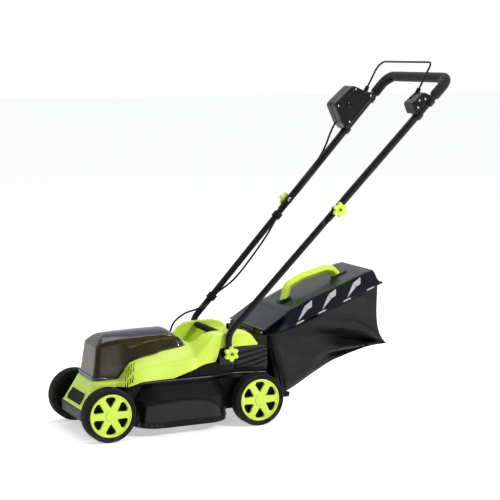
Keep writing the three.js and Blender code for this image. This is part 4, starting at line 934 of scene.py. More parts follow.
def make_lower_tubes():
    """Two steel legs, upright at the pivot and bent back towards the middle joint."""
    knee_z = JOINT.z - (JOINT.x - PIVOT.x) * math.tan(LEAN)
    for name, side in SIDES:
        top = on_leg(20, 0, side * leg_y(20))
        route = smooth_line([(PIVOT.x, side * PIVOT.y, PIVOT.z - 16), (PIVOT.x, side * PIVOT.y, knee_z), top],
                            55, 3.0)
        leg = swept(f"lower_leg_{name}", route, LOWER_TUBE, 24)
        limit = side * (JOINT.y - TUBE_GAP)
        for vertex in leg.data.vertices:            # pressed flat on the inside of the joint face
            s, y = leg_place(vertex)
            if (y - limit) * side > 0:
                vertex.co.y = (y + (limit - y) * smoothstep(-60, -46, s)) * MM
        fitted(shown(leg, TUBE), "lower_handle", "painted_tube", f"lower_tube_{name}")


def grip_route(start):
    """The upper tube's line from one leg over the grip to the other."""
    ends = [on_leg(start, 0, leg_y(start)), on_leg(UPPER_LENGTH, 0, leg_y(UPPER_LENGTH)),
            on_leg(UPPER_LENGTH, 0, -leg_y(UPPER_LENGTH)), on_leg(start, 0, -leg_y(start))]
    return smooth_line(ends, GRIP_BEND, 3.0)


def make_upper_tube():
    """One tube for both upper legs and the grip."""
    route = grip_route(-40)
    frame_tube = swept("handle_hoop", route, UPPER_TUBE, 24)
    limit = JOINT.y + TUBE_GAP
    for vertex in frame_tube.data.vertices:         # pressed flat on the outside of the joint face
        s, y = leg_place(vertex)
        if abs(y) < limit:
            vertex.co.y = math.copysign(abs(y) + (limit - abs(y)) * (1 - smoothstep(26, 40, s)), y) * MM
    fitted(shown(frame_tube, TUBE), "upper_handle", "painted_tube", "upper_tube")


def make_grip():
    """The foam sleeve: a little uneven, with rounded ends."""
    route = grip_route(FOAM_START)
    length = sum((b - a).length for a, b in zip(route, route[1:]))
    end = 5 / length

    def radius(share):
        inset = min(share, 1 - share)
        round_end = 2.2 * (1 - smoothstep(0, end, inset))
        return FOAM_RADIUS - 0.2 - round_end + 0.25 * noise.noise(Vector((share * 40, 0.5, 0)))

    foam = swept("foam_sleeve", route, radius, 40)
    fitted(shown(foam, FOAM), "upper_handle", "grip_foam", "grip_foam")


# ---------- cowl ----------

def rounded_row(points, radii, steps=4):
    """An open polyline with its inner corners rounded, always giving the same number of points."""
    out = [Vector(points[0])]
    for index in range(1, len(points) - 1):
        corner = Vector(points[index])
        back = Vector(points[index - 1]) - corner
        on = Vector(points[index + 1]) - corner
        reach = min(radii[index - 1], back.length * 0.45, on.length * 0.45)
        if back.length < 1e-6 or on.length < 1e-6:
            out += [corner] * (steps + 1)
            continue
        enter = corner + back.normalized() * reach
        leave = corner + on.normalized() * reach
        for step in range(steps + 1):
            share = step / steps
            out.append(enter.lerp(corner, share).lerp(corner.lerp(leave, share), share))
    out.append(Vector(points[-1]))
    return out


# Each row is (x, value) stops. FLOOR is the height of the recess in the middle, SEAT its upper edge, SHOULDER the
# corner where the top turns down, and EDGE the lower edge; the _Y rows are distances from the mower's middle.
COWL_FLOOR = [(-57, 78), (-13, 153), (-9, 152), (140, 152), (146, 201), (240, 214), (262, 234), (276, 236),
              (292, 206), (378, 204), (388, 243), (445, 242), (462, 232)]
COWL_SEAT = [(-57, 78), (-13, 153.5), (55, 153.5), (89, 199), (123, 209), (168, 216), (182, 222), (252, 231),
             (268, 237), (284, 247), (302, 264), (330, 270), (415, 270), (438, 264), (452, 250), (462, 230)]
COWL_SEAT_Y = [(-57, 78), (-13, 67), (250, 67.5), (270, 72), (292, 82), (462, 82)]
COWL_SHOULDER_Y = [(-57, 83), (-30, 79), (-13, 83), (45, 90), (62, 100), (90, 105), (200, 112), (274, 113),
                   (310, 116), (462, 116)]
COWL_SHOULDER = [(-57, 75), (-30, 106), (-13, 142), (0, 149), (52, 150), (60, 154), (90, 185), (125, 190),
                 (211, 197), (270, 205), (300, 234), (322, 262), (335, 267), (415, 268), (438, 261),
                 (452, 247), (462, 229)]
COWL_EDGE_Y = [(-57, 86), (45, 91), (66, 123), (200, 125), (264, 124), (287, 116.3), (462, 116.3)]
COWL_EDGE = [(-57, 71), (-40, 78), (-12, 112), (12, 134), (62, 141), (111, 152.5), (200, 154), (301, 184),
             (333, 188), (343, 222), (355, 226), (462, 226)]


def cowl_row(x):
    """The cowl's skin from the middle out to its left edge at one place along the mower."""
    seat_y = eased(COWL_SEAT_Y, x, 4)
    floor = eased(COWL_FLOOR, x, 2)
    seat = eased(COWL_SEAT, x, 4)
    wall = 3.0 if seat - floor > 4 else 8.0
    corners = [(0, floor), (seat_y - wall, floor), (seat_y, seat),
               (eased(COWL_SHOULDER_Y, x, 8), eased(COWL_SHOULDER, x, 6)),
               (eased(COWL_EDGE_Y, x, 6), eased(COWL_EDGE, x, 3))]
    row = rounded_row(corners, (3, 3, 7))
    return [(x, -y, z) for y, z in row]


def make_cowl():
    """The lime top shell with its side vents and the pocket where the cable enters."""
    spots = []
    x = -57.0
    while x < 462:
        spots.append(x)
        x += 2.5 if (x < -5 or 130 < x < 150 or 255 < x < 300 or 370 < x < 395 or 325 < x < 350) else 5
    spots.append(462.0)
    rings = []
    for x in spots:
        left = cowl_row(x)
        rings.append(list(reversed(left)) + [(a, -b, c) for a, b, c in left[1:]])
    shell = thickened(lofted("cowl_shell", rings, skin=True), 2.6, UP)
    slots = []
    for side in (-1, 1):
        for near, far, start in ((76, 88, 79), (92, 104, 71), (108, 119, 63)):
            for index in range(4):
                x = start + index * 7.5
                slots.append(slanted_block((x, side * near), (x - 7, side * far), 3.4, 120, 215))
    cut(shell, joined(*slots), use_self=True)
    pocket = turned("pocket", [(0.01, 0), (11, 0), (11, 40), (0.01, 40)], (272, 76, 215), (0, 0, 1), 32)
    cut(shell, pocket, use_self=True)
    fitted(shown(shell, LIME), "deck", "lime_plastic", "cowl")
    make_badge()


def slanted_block(start, end, width, low, high):
    """A long thin block standing from low to high over the line from start to end."""
    a, b = Vector(start), Vector(end)
    across = Vector((-(b - a).y, (b - a).x)).normalized() * width / 2
    outline = [a - across, b - across, b + across, a + across]
    return plate("slot", [tuple(p) for p in outline], low, high, edge=0, place=lambda a, b, t: (a, b, t))


def on_nose(y, up, out):
    """A point on the nose's sloping face: across, up the slope, and out from the face."""
    slope = Vector((44, 0, 75.5)).normalized()
    normal = Vector((-slope.z, 0, slope.x))
    return Vector((-57, y, 78)) + slope * up + normal * out


def make_badge():
    """A blank dark glossy badge in a raised lime surround on the nose."""
    outer = rounded_outline([(-56, 8, 3), (56, 8, 3), (61, 24, 6), (54, 47, 3), (-54, 47, 3), (-61, 24, 6)])
    inner = shrunk(outer, 2.2)
    surround = plate("badge_surround", outer, -1.5, 1.9, holes=[inner], edge=0.7, place=on_nose)
    fitted(shown(surround, LIME), "deck", "lime_plastic")
    face = plate("badge_face", shrunk(outer, 2.4), -1.0, 0.5, edge=0.3, place=on_nose)
    fitted(shown(face, BADGE), "deck", "black_plastic", "nose_badge")


# ---------- battery cover and what it covers ----------

# (x, height) stops of the cover's foot, of the crease where its wall turns in, and of its crown
COVER_EDGE = [(-14, 155.5), (55, 155.5), (89, 201.5), (123, 211.5), (168, 218.5), (182, 225), (252, 233.5),
              (262, 239)]
COVER_CREASE = [(-14, 241), (6, 250), (22, 257), (60, 262), (150, 266), (213, 266), (240, 256), (262, 243)]
COVER_ROOF = [(-14, 253), (6, 267), (24, 274), (60, 277), (150, 279), (213, 279), (240, 266), (262, 244)]


def cover_ring(base, inset, height, roof):
    """One ring of the cover: inset from its foot, height up the wall and share of the roof's rise."""
    ring = []
    for x, y in base:
        middle = min(max(x, 45), 215)
        half = 66.0
        reach = (1 - (9.5 if inset > 9.5 else inset) / half)
        front = smoothstep(60, -14, x) * 13 * min(height, 1.0)
        rear = smoothstep(235, 262, x) * 9 * min(height, 1.0)
        px, py = x + front - rear, y * reach
        share = max(0.0, (inset - 9.5) / (half - 9.5))
        px = middle + (px - middle) * (1 - share)
        py = py * (1 - share)
        step = smoothstep(167, 171, x) * 1.1 * (1 - smoothstep(0.8, 1.0, height))
        py -= math.copysign(step, py) if abs(py) > 30 else 0
        low = eased(COVER_EDGE, x, 4)
        top = eased(COVER_CREASE, px, 8)
        crown = eased(COVER_ROOF, px, 8)
        pz = low + (top - low) * min(height, 1.0) + (crown - top) * roof
        ring.append((px, py, pz))
    return ring


def cover_profile():
    """The cover's levels from foot to crown, as the arguments of cover_ring."""
    levels = [(-2.0, 0.0, 0), (-2.0, 0.014, 0), (-0.2, 0.022, 0), (0.4, 0.05, 0)]
    levels += [(0.4 + 7.6 * k / 8, 0.05 + 0.83 * k / 8, 0) for k in range(1, 9)]
    levels += [(8.5, 0.93, 0.0), (9.3, 0.97, 0.01), (10.6, 0.99, 0.04), (12.6, 1.0, 0.10), (15.5, 1.0, 0.17)]
    for k in range(1, 13):
        share = k / 12
        inset = 15.5 + (65.6 - 15.5) * share
        levels.append((inset, 1.0, 0.17 + 0.83 * (1 - (1 - share) ** 2.0)))
    return levels


def make_cover():
    """The smoked battery cover with its hinge knuckle, dark lip band and catch."""
    corner = rounded_outline([(-14, -66, 15), (262, -66, 24), (262, 66, 24), (-14, 66, 15)], 8)
    base = evenly([Vector(p) for p in corner + corner[:1]], 3.5)[:-1]
    rings = [cover_ring(base, *level) for level in cover_profile()]
    count = len(base)
    points = [p for ring in rings for p in ring]
    faces = [(r * count + i, r * count + (i + 1) % count, (r + 1) * count + (i + 1) % count, (r + 1) * count + i)
             for r in range(len(rings) - 1) for i in range(count)]
    faces.append(tuple(range((len(rings) - 1) * count, len(rings) * count)))
    cover = thickened(solid("smoked_lid", points, faces), 2.0, UP)
    knuckle = turned("knuckle", [(2.4, -18), (5, -18), (5, 18), (2.4, 18), (2.4, -18)], (264, 0, 237),
                     (0, 1, 0), 32)
    joined(cover, knuckle)
    fitted(shown(cover, SMOKE, 50), "cover", "smoked_cover", "battery_cover")

    front = sorted((p for p in base if p.x < 52), key=lambda p: math.atan2(p.x - 60, -p.y))
    rings = []
    for p in front:
        corner_centre = Vector((1, min(51, max(-51, p.y))))
        out = Vector((0, math.copysign(1, p.y))) if p.x > 1 else (p - corner_centre).normalized()
        tall = 4 + 6 * smoothstep(30, -4, p.x)
        section = ((-0.5, 0), (2.6, 0), (3.4, 0.15), (3.4, 0.7), (2.6, 0.95), (0.6, 1.0), (-0.5, 0.9))
        rings.append([(p.x + out.x * o, p.y + out.y * o, 154.2 + h * tall) for o, h in section])
    band = lofted("cover_lip_band", rings)
    fitted(shown(band, LIP), "cover", "black_plastic")

    catch = plate("cover_catch", rounded_outline([(-9, -4, 2), (9, -4, 2), (9, 5, 2), (-9, 5, 2)]), 0, 3.0,
                  edge=0.8, place=lambda a, b, t: (256 + t * 0.8 + b * 0.5, a - 40, 243 + b * 0.8 + t * 0.6))
    fitted(shown(catch, STEEL), "cover", "bare_steel")


def make_bay():
    """The tray, the battery pack with its pale band, the key and the control board."""
    refined("battery_tray", 1.0, BLACK)
    refined("battery_pack", 6.0, BLACK, 4)
    band = plate("pack_band", rounded_outline([(15.5, 172, 4), (110.5, 172, 4), (110.5, 184, 4), (15.5, 184, 4)]),
                 -36.6, 36.6, edge=0.5)
    fitted(shown(band, GREY), "battery", "black_plastic")
    refined("safety_key", 1.5, RED)
    refined("control_board", 0.3, BOARD)
    refined("cover_hinge_pin", 0.4, STEEL)


# ---------- deck ----------

# (x, height) stops of the skirt bulge's upper line
DOME_TOP = [(86, 62), (94, 80), (110, 96), (136, 105), (200, 108), (269, 105), (300, 94), (322, 74), (336, 52)]


def make_deck():
    """The deck shell, and on each side a bulged skirt panel, a step along its foot and grass comb fins."""
    refined("deck_shell", 2.2, BLACK)
    for name, side in SIDES:
        columns, rows = 56, 16
        rings = []
        for i in range(columns + 1):
            x = 88 + (344 - 88) * i / columns
            top = eased(DOME_TOP, x, 5)
            ring = []
            for j in range(rows + 1):
                share = j / rows
                z = 40 + (top - 40) * share
                bulge = math.sin(math.pi * min(1.0, share * 1.02)) ** 0.6
                ends = smoothstep(86, 120, x) * smoothstep(346, 306, x)
                y = 162.4 + 4.2 * bulge * ends * (0.55 + 0.45 * share)
                wall = bulge_y(x)
                ring.append((x, side * (y - 163 + wall), z))
            rings.append(ring)
        dome = thickened(lofted(f"deck_dome_{name}", rings, skin=True), 1.5, Vector((0, side, 0)))
        fitted(shown(dome, GLOSS), "deck", "black_plastic")

        route = [(x, side * (bulge_y(x) + 0.6), 37.5) for x in range(80, 371, 5)]
        strip = bar(f"skirt_step_{name}", route,
                    [(-1.3, -1.6), (1.3, -1.6), (1.3, 1.0), (0.6, 1.7), (-0.6, 1.7), (-1.3, 1.0)])
        fitted(shown(strip, GLOSS), "deck", "black_plastic")
        fins = []
        for index in range(5):
            x = 92 + index * 13
            fins.append(plate("fin", rounded_outline([(0, 0, 1), (9, 0, 1), (9, 15, 4), (4, 18, 3), (0, 12, 2)]),
                              side * (bulge_y(x + 4) - 1.5), side * (bulge_y(x + 4) + 1.8), edge=0.6,
                              place=lambda a, b, t, x=x: (x + a - b * 0.25, t, 26 + b)))
        fitted(shown(joined(*fins), GLOSS), "deck", "black_plastic")


def bulge_y(x):
    """How far out the blade chamber's wall stands, rounded at both ends in plan."""
    front, rear, corner = 84, 366, 70
    inward = min(corner, max(front + corner - x, x - (rear - corner), 0))
    return 163 - corner + math.sqrt(corner ** 2 - inward ** 2)


# ---------- motor, blade and running gear ----------

def make_motor():
    """The motor with its ring of screws, the shaft and the blade."""
    refined("motor_housing", 1.5, BLACK)
    screws = []
    for index in range(8):
        angle = math.pi * index / 4 + 0.2
        x, y = 225 + 30 * math.cos(angle), 30 * math.sin(angle)
        screws.append(pin("screw", (x, y, 188), (x, y, 197.4), 2.4, 0.5, 16))
    fitted(shown(joined(*screws), STEEL), "deck", "bare_steel")
    refined("motor_shaft", 0.8, STEEL)
    refined("blade", 0.7, STEEL)
    refined("blade_bolt", 0.8, STEEL)


def make_gear():
    """The cranked axles, the rod that links them and the height lever's knob."""
    refined("front_axle", 0.7, STEEL)
    refined("rear_axle", 0.7, STEEL)
    refined("link_rod", 0.3, TUBE)
    refined("lever_knob", 3.0, BLACK, 4)


# ---------- rear frame, brackets and carry handle ----------

# heights of each rib at four places along the rear frame
RIB_HEIGHTS = ((204, 208, 213, 218), (187, 192, 199, 206), (170, 176, 184, 193), (164, 165, 170, 179))


def make_rear_frame():
    """The frame with its ribbed sides, the handle brackets, the ridged carry handle and the flap."""
    refined("rear_frame", 1.6, BLACK)
    for name, side in SIDES:
        panel = rounded_outline([(396, 161, 3), (494, 161, 3), (494, 223, 3), (396, 223, 3)], 3)
        ends = sorted((side * 110.5, side * 115.4))
        bars = [plate("rib_panel", panel, *ends, edge=0.8)]
        for heights in RIB_HEIGHTS:
            route = smooth_line([(x, side * 116.2, z) for x, z in zip((398, 425, 462, 494), heights)], 30, 4.0)
            bars.append(bar("frame_rib", route, [(-1.6, -2.0), (1.6, -2.0), (2.0, -1.4), (2.0, 1.4),
                                                 (1.6, 2.0), (-1.6, 2.0), (-2.0, 1.4), (-2.0, -1.4)]))
        fitted(shown(joined(*bars), GLOSS), "deck", "black_plastic")
        refined(f"handle_bracket_{name}", 1.8, GLOSS)
    refined("carry_handle", 1.2, BLACK)
    grip = (358, 0, middle_of("carry_handle").z)
    ridges = []
    for y in range(-72, 73, 6):
        profile = [(8.4, y - 1.5), (9.5, y - 1.1), (9.5, y + 1.1), (8.4, y + 1.5), (7.6, y + 1.5), (7.6, y - 1.5),
                   (8.4, y - 1.5)]
        ridges.append(turned("ridge", profile, grip, (0, 1, 0), 32))
    fitted(shown(joined(*ridges), BLACK), "deck", "black_plastic")
    refined("flap_pin", 0.5, STEEL)
    refined("discharge_flap", 1.2, LID)


# ---------- grass box ----------

LID_FRONT, LID_REAR = 499, 868
LID_HALF = 128
PANEL_HALF = 98                     # half the width of the lid's raised top panel
RIM_FRONT_Z = 250
RIM_SLOPE = 0.352


def rim(x):
    """Height of the line where the lid meets the bag."""
    return RIM_FRONT_Z + (x - LID_FRONT) * RIM_SLOPE


def lid_height(x, share):
    """Height of the lid's skin over its rim; share runs from the middle (0) to the edge (1)."""
    crown = 38 + 4 * smoothstep(591, 640, x) - 3 * smoothstep(820, 862, x)
    front = smoothstep(LID_FRONT, 585, x)
    rear = 1 - smoothstep(851, LID_REAR, x)
    top = crown * (0.12 + 0.88 * front) * rear
    panel_edge = PANEL_HALF / LID_HALF
    step = 1.4
    if share < panel_edge:
        return top - step * smoothstep(panel_edge - 0.035, panel_edge, share)
    return (top - step) * (1 - share) / (1 - panel_edge)


def make_lid():
    """The grass box lid with its pale vents, edge, clips and panel lines."""
    columns = 66
    shares = [k / 10 * 0.72 for k in range(11)] + [0.737, 0.75, 0.7656, 0.775, 0.79, 0.84, 0.89, 0.94, 0.985, 1.0]
    rings = []
    for i in range(columns + 1):
        x = 499.5 + (867 - 499.5) * i / columns
        half = LID_HALF * (1 - 0.05 * (1 - smoothstep(LID_FRONT, 520, x)))
        row = [(x, -half * share, rim(x) + 1 + lid_height(x, share)) for share in reversed(shares)]
        rings.append(row + [(a, -b, c) for a, b, c in reversed(row[:-1])])
    skin = thickened(lofted("lid_skin", rings, skin=True), 2.4, UP)
    grooves = []
    plates = []
    for side in (-1, 1):
        for x in (588, 667, 749):
            tail = [(x, 125), (x + 28.5, 106.4), (x + 34, 114.5), (x + 2, 125)]
            head = [(x + 29, 105.8), (x + 57, 101.5), (x + 51, 112.5), (x + 34.6, 113.8)]
            for corners, lift in ((tail, 0.3), (head, 1.0)):
                outline = rounded_outline([(a, side * b, 0.9) for a, b in corners], 2)
                plates.append(vent_plate(outline, lift))
            groove = [(x + 59, 101), (x + 61, 101), (x + 58, 116), (x + 55, 116)]
            grooves.append(vent_plate(rounded_outline([(a, side * b, 0.5) for a, b in groove], 2), -0.2))
    fitted(shown(skin, LID), "grass_box", "black_plastic", "box_lid")
    fitted(shown(joined(*plates), GREY), "grass_box", "black_plastic")
    fitted(shown(joined(*grooves), CABLE), "grass_box", "black_plastic")

    flange, tabs = [], []
    for side in (-1, 1):
        route = [(x, side * 128.2, rim(x) + 0.6) for x in range(512, LID_REAR, 6)]
        flange.append(bar("rim_edge", route, [(-1.0, -1.6), (1.6, -1.6), (1.9, -0.8), (1.9, 0.8), (1.6, 1.6),
                                              (-1.0, 1.6)]))
        for x in (592, 663, 745, 824):
            flange.append(tab_block(x, side, 18, 127.5, 129.9))
            tabs.append(tab_block(x, side, 12, 128, 130.9))
    rear = [(866.5, y, rim(866.5) + 0.6) for y in range(-124, 125, 8)]
    flange.append(bar("rim_rear", rear, [(-1.6, -1.6), (1.6, -1.6), (1.9, 0), (1.6, 1.6), (-1.6, 1.6)]))
    fitted(shown(joined(*flange), LID), "grass_box", "black_plastic")
    fitted(shown(joined(*tabs), GREY), "grass_box", "black_plastic")

    lines = []
    for side in (-1, 1):
        for low_x, high_x in ((566, 700), (735, 842)):
            route = [Vector((x, side * 99.5, rim(x) + 2.0 + lid_height(x, 0.7656))) for x in range(low_x, high_x, 8)]
            lines.append(swept("panel_line", route, 0.8, 8))
    fitted(shown(joined(*lines), LID), "grass_box", "black_plastic")


def vent_plate(outline, lift):
    """A thin plate that follows the lid's slope and stands out from it by lift."""
    def place(a, b, t):
        share = min(abs(b) / LID_HALF, 1.0)
        return (a, b, rim(a) + 1 + lid_height(a, share) + t)

    return plate("vent", outline, -1.0, lift + 0.6, edge=0.5, place=place)


def tab_block(x, side, half, inner, outer):
    """A clip on the lid's edge; the wide dark ones hang lower than the pale ones in their middles."""
    low = -5 if outer < 130 else -1.6
    outline = rounded_outline([(x - half, low, 1), (x + half, low, 1), (x + half, 2.4, 1), (x - half, 2.4, 1)], 3)

    def place(a, b, t):
        return (a, side * t, rim(a) + b)

    return plate("tab", outline, inner, outer, edge=0.5, place=place)


def make_box_handle():
    """A chunky bent bar, square with rounded corners, on two dark feet."""
    low = rim(596) + 41
    route = smooth_line([(603, 0, low - 6), (615, 0, low + 44), (664, 0, low + 67), (742, 0, low + 86),
                         (764, 0, low + 81), (789, 0, low + 55)], (22, 40, 26, 20), 4.0)
    section = rounded_outline([(-13, -10, 5), (13, -10, 5), (13, 10, 5), (-13, 10, 5)], 4)
    fitted(shown(bar("box_grip", route, section), LIME), "grass_box", "lime_plastic", "box_handle")
    feet = []
    for x in (603, 791):
        outline = rounded_outline([(x - 17, -17, 5), (x + 17, -17, 5), (x + 17, 17, 5), (x - 17, 17, 5)], 4)
        feet.append(plate("foot", outline, 0, 9, edge=2, place=lambda a, b, t: (a, b, rim(a) + 38 + t)))
    fitted(shown(joined(*feet), LID), "grass_box", "black_plastic")


BAG_SIDE = 123


BAG_TAIL = Vector((894, 193))
BAG_FRONT, BAG_REAR = 505, 863      # ends of its upper line
BAG_LOW_X = [(0.0, 548), (0.10, 582), (0.30, 650), (0.5, 716), (0.7, 786), (0.9, 862), (1.0, BAG_TAIL.x)]
BAG_LOW_Z = [(0.0, 70), (0.10, 80), (0.30, 118), (0.5, 152), (0.7, 172), (0.9, 190), (1.0, BAG_TAIL.y)]


def bag_lines(t):
    """Points of the bag's upper line along the rim and of its lower line, from the front (0) to the tail (1)."""
    x = BAG_FRONT + (BAG_REAR - BAG_FRONT) * t
    reach = min(0.05, 1 - t, t)
    return Vector((x, rim(x) - 1.0)), Vector((eased(BAG_LOW_X, t, reach), eased(BAG_LOW_Z, t, reach)))


def bump(value, centre, width):
    """A smooth hump of height 1."""
    return math.exp(-((value - centre) / width) ** 2)


def fold(x, z):
    """How far the fabric is pushed out at a place on the bag's side: folds run to the tail corner."""
    away = Vector((x, z)) - BAG_TAIL
    reach = away.length
    angle = math.degrees(math.atan2(away.y, -away.x))
    grow = smoothstep(0, 55, reach) * (1 - 0.6 * smoothstep(220, 400, reach))
    ridge = 25 * bump(angle, 33 - 16 * smoothstep(60, 260, reach), 7)
    valley = -24 * bump(angle, 12, 5.5) * smoothstep(330, 200, reach)
    low_ridge = 20 * bump(angle, 0, 4) * smoothstep(280, 140, reach)
    low_valley = -15 * bump(angle, -8, 3.4) * smoothstep(260, 150, reach)
    skirt = 16 * bump(angle, -17, 6)
    pull = 7 * bump((Vector((x, z)) - Vector((778, 277))).length, 0, 30)
    soft = (3.2 * noise.noise(Vector((x * 0.016, z * 0.028, 1.7)))
            + 1.3 * noise.noise(Vector((x * 0.05, z * 0.07, 5.1))))
    return (ridge + valley + low_ridge + low_valley + skirt) * grow + pull + soft


def bag_side(t, rows):
    """The left side of the bag at one place along it, from the rim down."""
    upper, lower = bag_lines(t)
    side = []
    for j in range(rows + 1):
        share = j / rows
        place = upper.lerp(lower, share)
        kick = share ** (1 + 5 * smoothstep(0.75, 1.0, t))
        place.x = upper.x - 5 * math.sin(math.pi * share) * t + (lower.x - upper.x) * kick
        belly = math.sin(math.pi * share) * (10 * (1 - t) + 4 * t)
        taper = 1 - 0.16 * smoothstep(0.75, 1.0, share) * (1 - smoothstep(0.8, 1.0, t))
        edge = math.sin(math.pi * min(1.0, share * 1.05)) ** 0.5 * smoothstep(0, 0.06, t)
        held = smoothstep(1.0, 0.93, share) * smoothstep(0, 0.05, share)
        push = fold(place.x, place.y) * held * smoothstep(0, 0.05, t) * smoothstep(1.0, 0.94, t)
        y = -(BAG_SIDE - 20) * taper - belly * 0.3 - push - 4 * edge
        side.append((place.x, max(y, -(BAG_SIDE + 9)), place.y))
    return side


def make_bag():
    """The fabric bag: one open-topped shell with folds pulled towards its tail corner."""
    columns, rows, bottom = 72, 34, 22
    rings = []
    for i in range(columns + 1):
        t = i / columns
        side = bag_side(t, rows)
        x, y, z = side[-1]
        across = []
        for k in range(1, bottom):
            share = k / bottom
            sag = 5 * math.sin(math.pi * share) * (1 - t) + 1.5 * noise.noise(Vector((t * 9, share * 6, 0)))
            across.append((x, y * (1 - 2 * share), z - sag))
        rings.append(side + across + [(a, -b, c) for a, b, c in reversed(side)])
    shell = lofted("bag_shell", rings, skin=True)
    weld(joined(shell, back_panel(rings[-1], rows)))
    vertices = shell.data.vertices
    middle = sum((vertex.co for vertex in vertices), Vector()) / len(vertices)
    if sum(face.normal.dot(face.center - middle) * face.area for face in shell.data.polygons) < 0:
        shell.data.flip_normals()
    change(shell, "SOLIDIFY", thickness=1.2 * MM, offset=-1.0)
    fitted(shown(shell, FABRIC, 60), "grass_box", "bag_fabric", "box_bag")

    trims = []
    for side in (-1, 1):
        route = [(x, side * (BAG_SIDE - 9), rim(x) - 4) for x in range(510, BAG_REAR + 1, 7)]
        trims.append(bar("hem", route, [(-1.2, -4), (1.2, -4), (1.8, 0), (1.2, 4), (-1.2, 4)]))
        seam = [Vector(ring[rows if side < 0 else len(ring) - 1 - rows]) for ring in rings]
        trims.append(swept("piping", seam, 1.6, 10))
    tail = [Vector(p) for p in rings[-1][rows:len(rings[-1]) - rows]]
    trims.append(swept("piping_rear", tail, 1.6, 10))
    fitted(shown(joined(*trims), FABRIC, 60), "grass_box", "bag_fabric")


def weld(piece):
    """Joins the points that lie within a tenth of a millimetre."""
    work = bmesh.new()
    work.from_mesh(piece.data)
    bmesh.ops.remove_doubles(work, verts=work.verts, dist=0.1 * MM)
    bmesh.ops.recalc_face_normals(work, faces=work.faces)
    work.to_mesh(piece.data)
    work.free()


def back_panel(ring, rows):
    """The bag's rear wall between the last row's two sides."""
    left = ring[:rows + 1]
    right = list(reversed(ring))[:rows + 1]
    low = ring[rows:len(ring) - rows]
    last = len(low) - 1
    grid = []
    for j in range(rows + 1):
        share = j / rows
        row = []
        for k in range(last + 1):
            across = k / last
            base = Vector(left[j]).lerp(Vector(right[j]), across)
            drop = Vector(low[k]) - Vector(left[rows]).lerp(Vector(right[rows]), across)
            bulge = 5 * math.sin(math.pi * across) * math.sin(math.pi * share)
            wave = 1.5 * noise.noise(Vector((across * 6, share * 7, 3)))
            keep = 0 if k in (0, last) or j in (0, rows) else 1
            row.append(tuple(base + drop * share ** 3 + Vector(((bulge + wave) * keep, 0, 0))))
        grid.append(row)
    return lofted("bag_back", grid, skin=True)


def make_front_frame():
    """The frame round the bag's mouth, with its edge strips and foot."""
    refined("box_front_frame", 1.6, BLACK)
    parts = []
    for side in (-1, 1):
        route = smooth_line([(506, side * 119.5, 246), (541, side * 119.5, 88), (549, side * 117, 70)], 10, 4.0)
        parts.append(bar("frame_edge", route, [(-3, -2), (3, -2), (3.5, 0), (3, 2), (-3, 2), (-3.5, 0)]))
    foot = rounded_outline([(543, 65, 2), (563, 65, 3), (565, 78, 3), (541, 82, 2)])
    parts.append(plate("frame_foot", foot, -119, 119, edge=1.2))
    fitted(shown(joined(*parts), BLACK), "grass_box", "black_plastic")


# ---------- switch box, bail and cables ----------

BUTTON = (340, 60)                  # along the leg, and in front of it
BOX_INNER, BOX_OUTER = 128, 187     # the switch box's faces, from the mower's middle


def clamp(name, s, side, width=16):
    """A clamp ring round the tube."""
    centre = on_leg(s, 0, side * leg_y(s))
    axis = on_leg(s + 1, 0, side * leg_y(s + 1)) - centre
    ring = [(11.3, -width / 2), (14.5, -width / 2), (15.4, -width / 2 + 1.2), (15.4, width / 2 - 1.2),
            (14.5, width / 2), (11.3, width / 2), (11.3, -width / 2)]
    return turned(name, ring, centre, axis, 40)


def screw(s, n, y, side):
    """A pan-head screw facing sideways."""
    radius = 3.2
    profile = [(0.01, 0), (radius, 0), (radius, 1.0), (radius * 0.7, 1.9), (radius * 0.35, 2.1), (0.3, 1.3),
               (0.01, 1.3)]
    return turned("screw", profile, on_leg(s, n, y), (0, side, 0), 20)


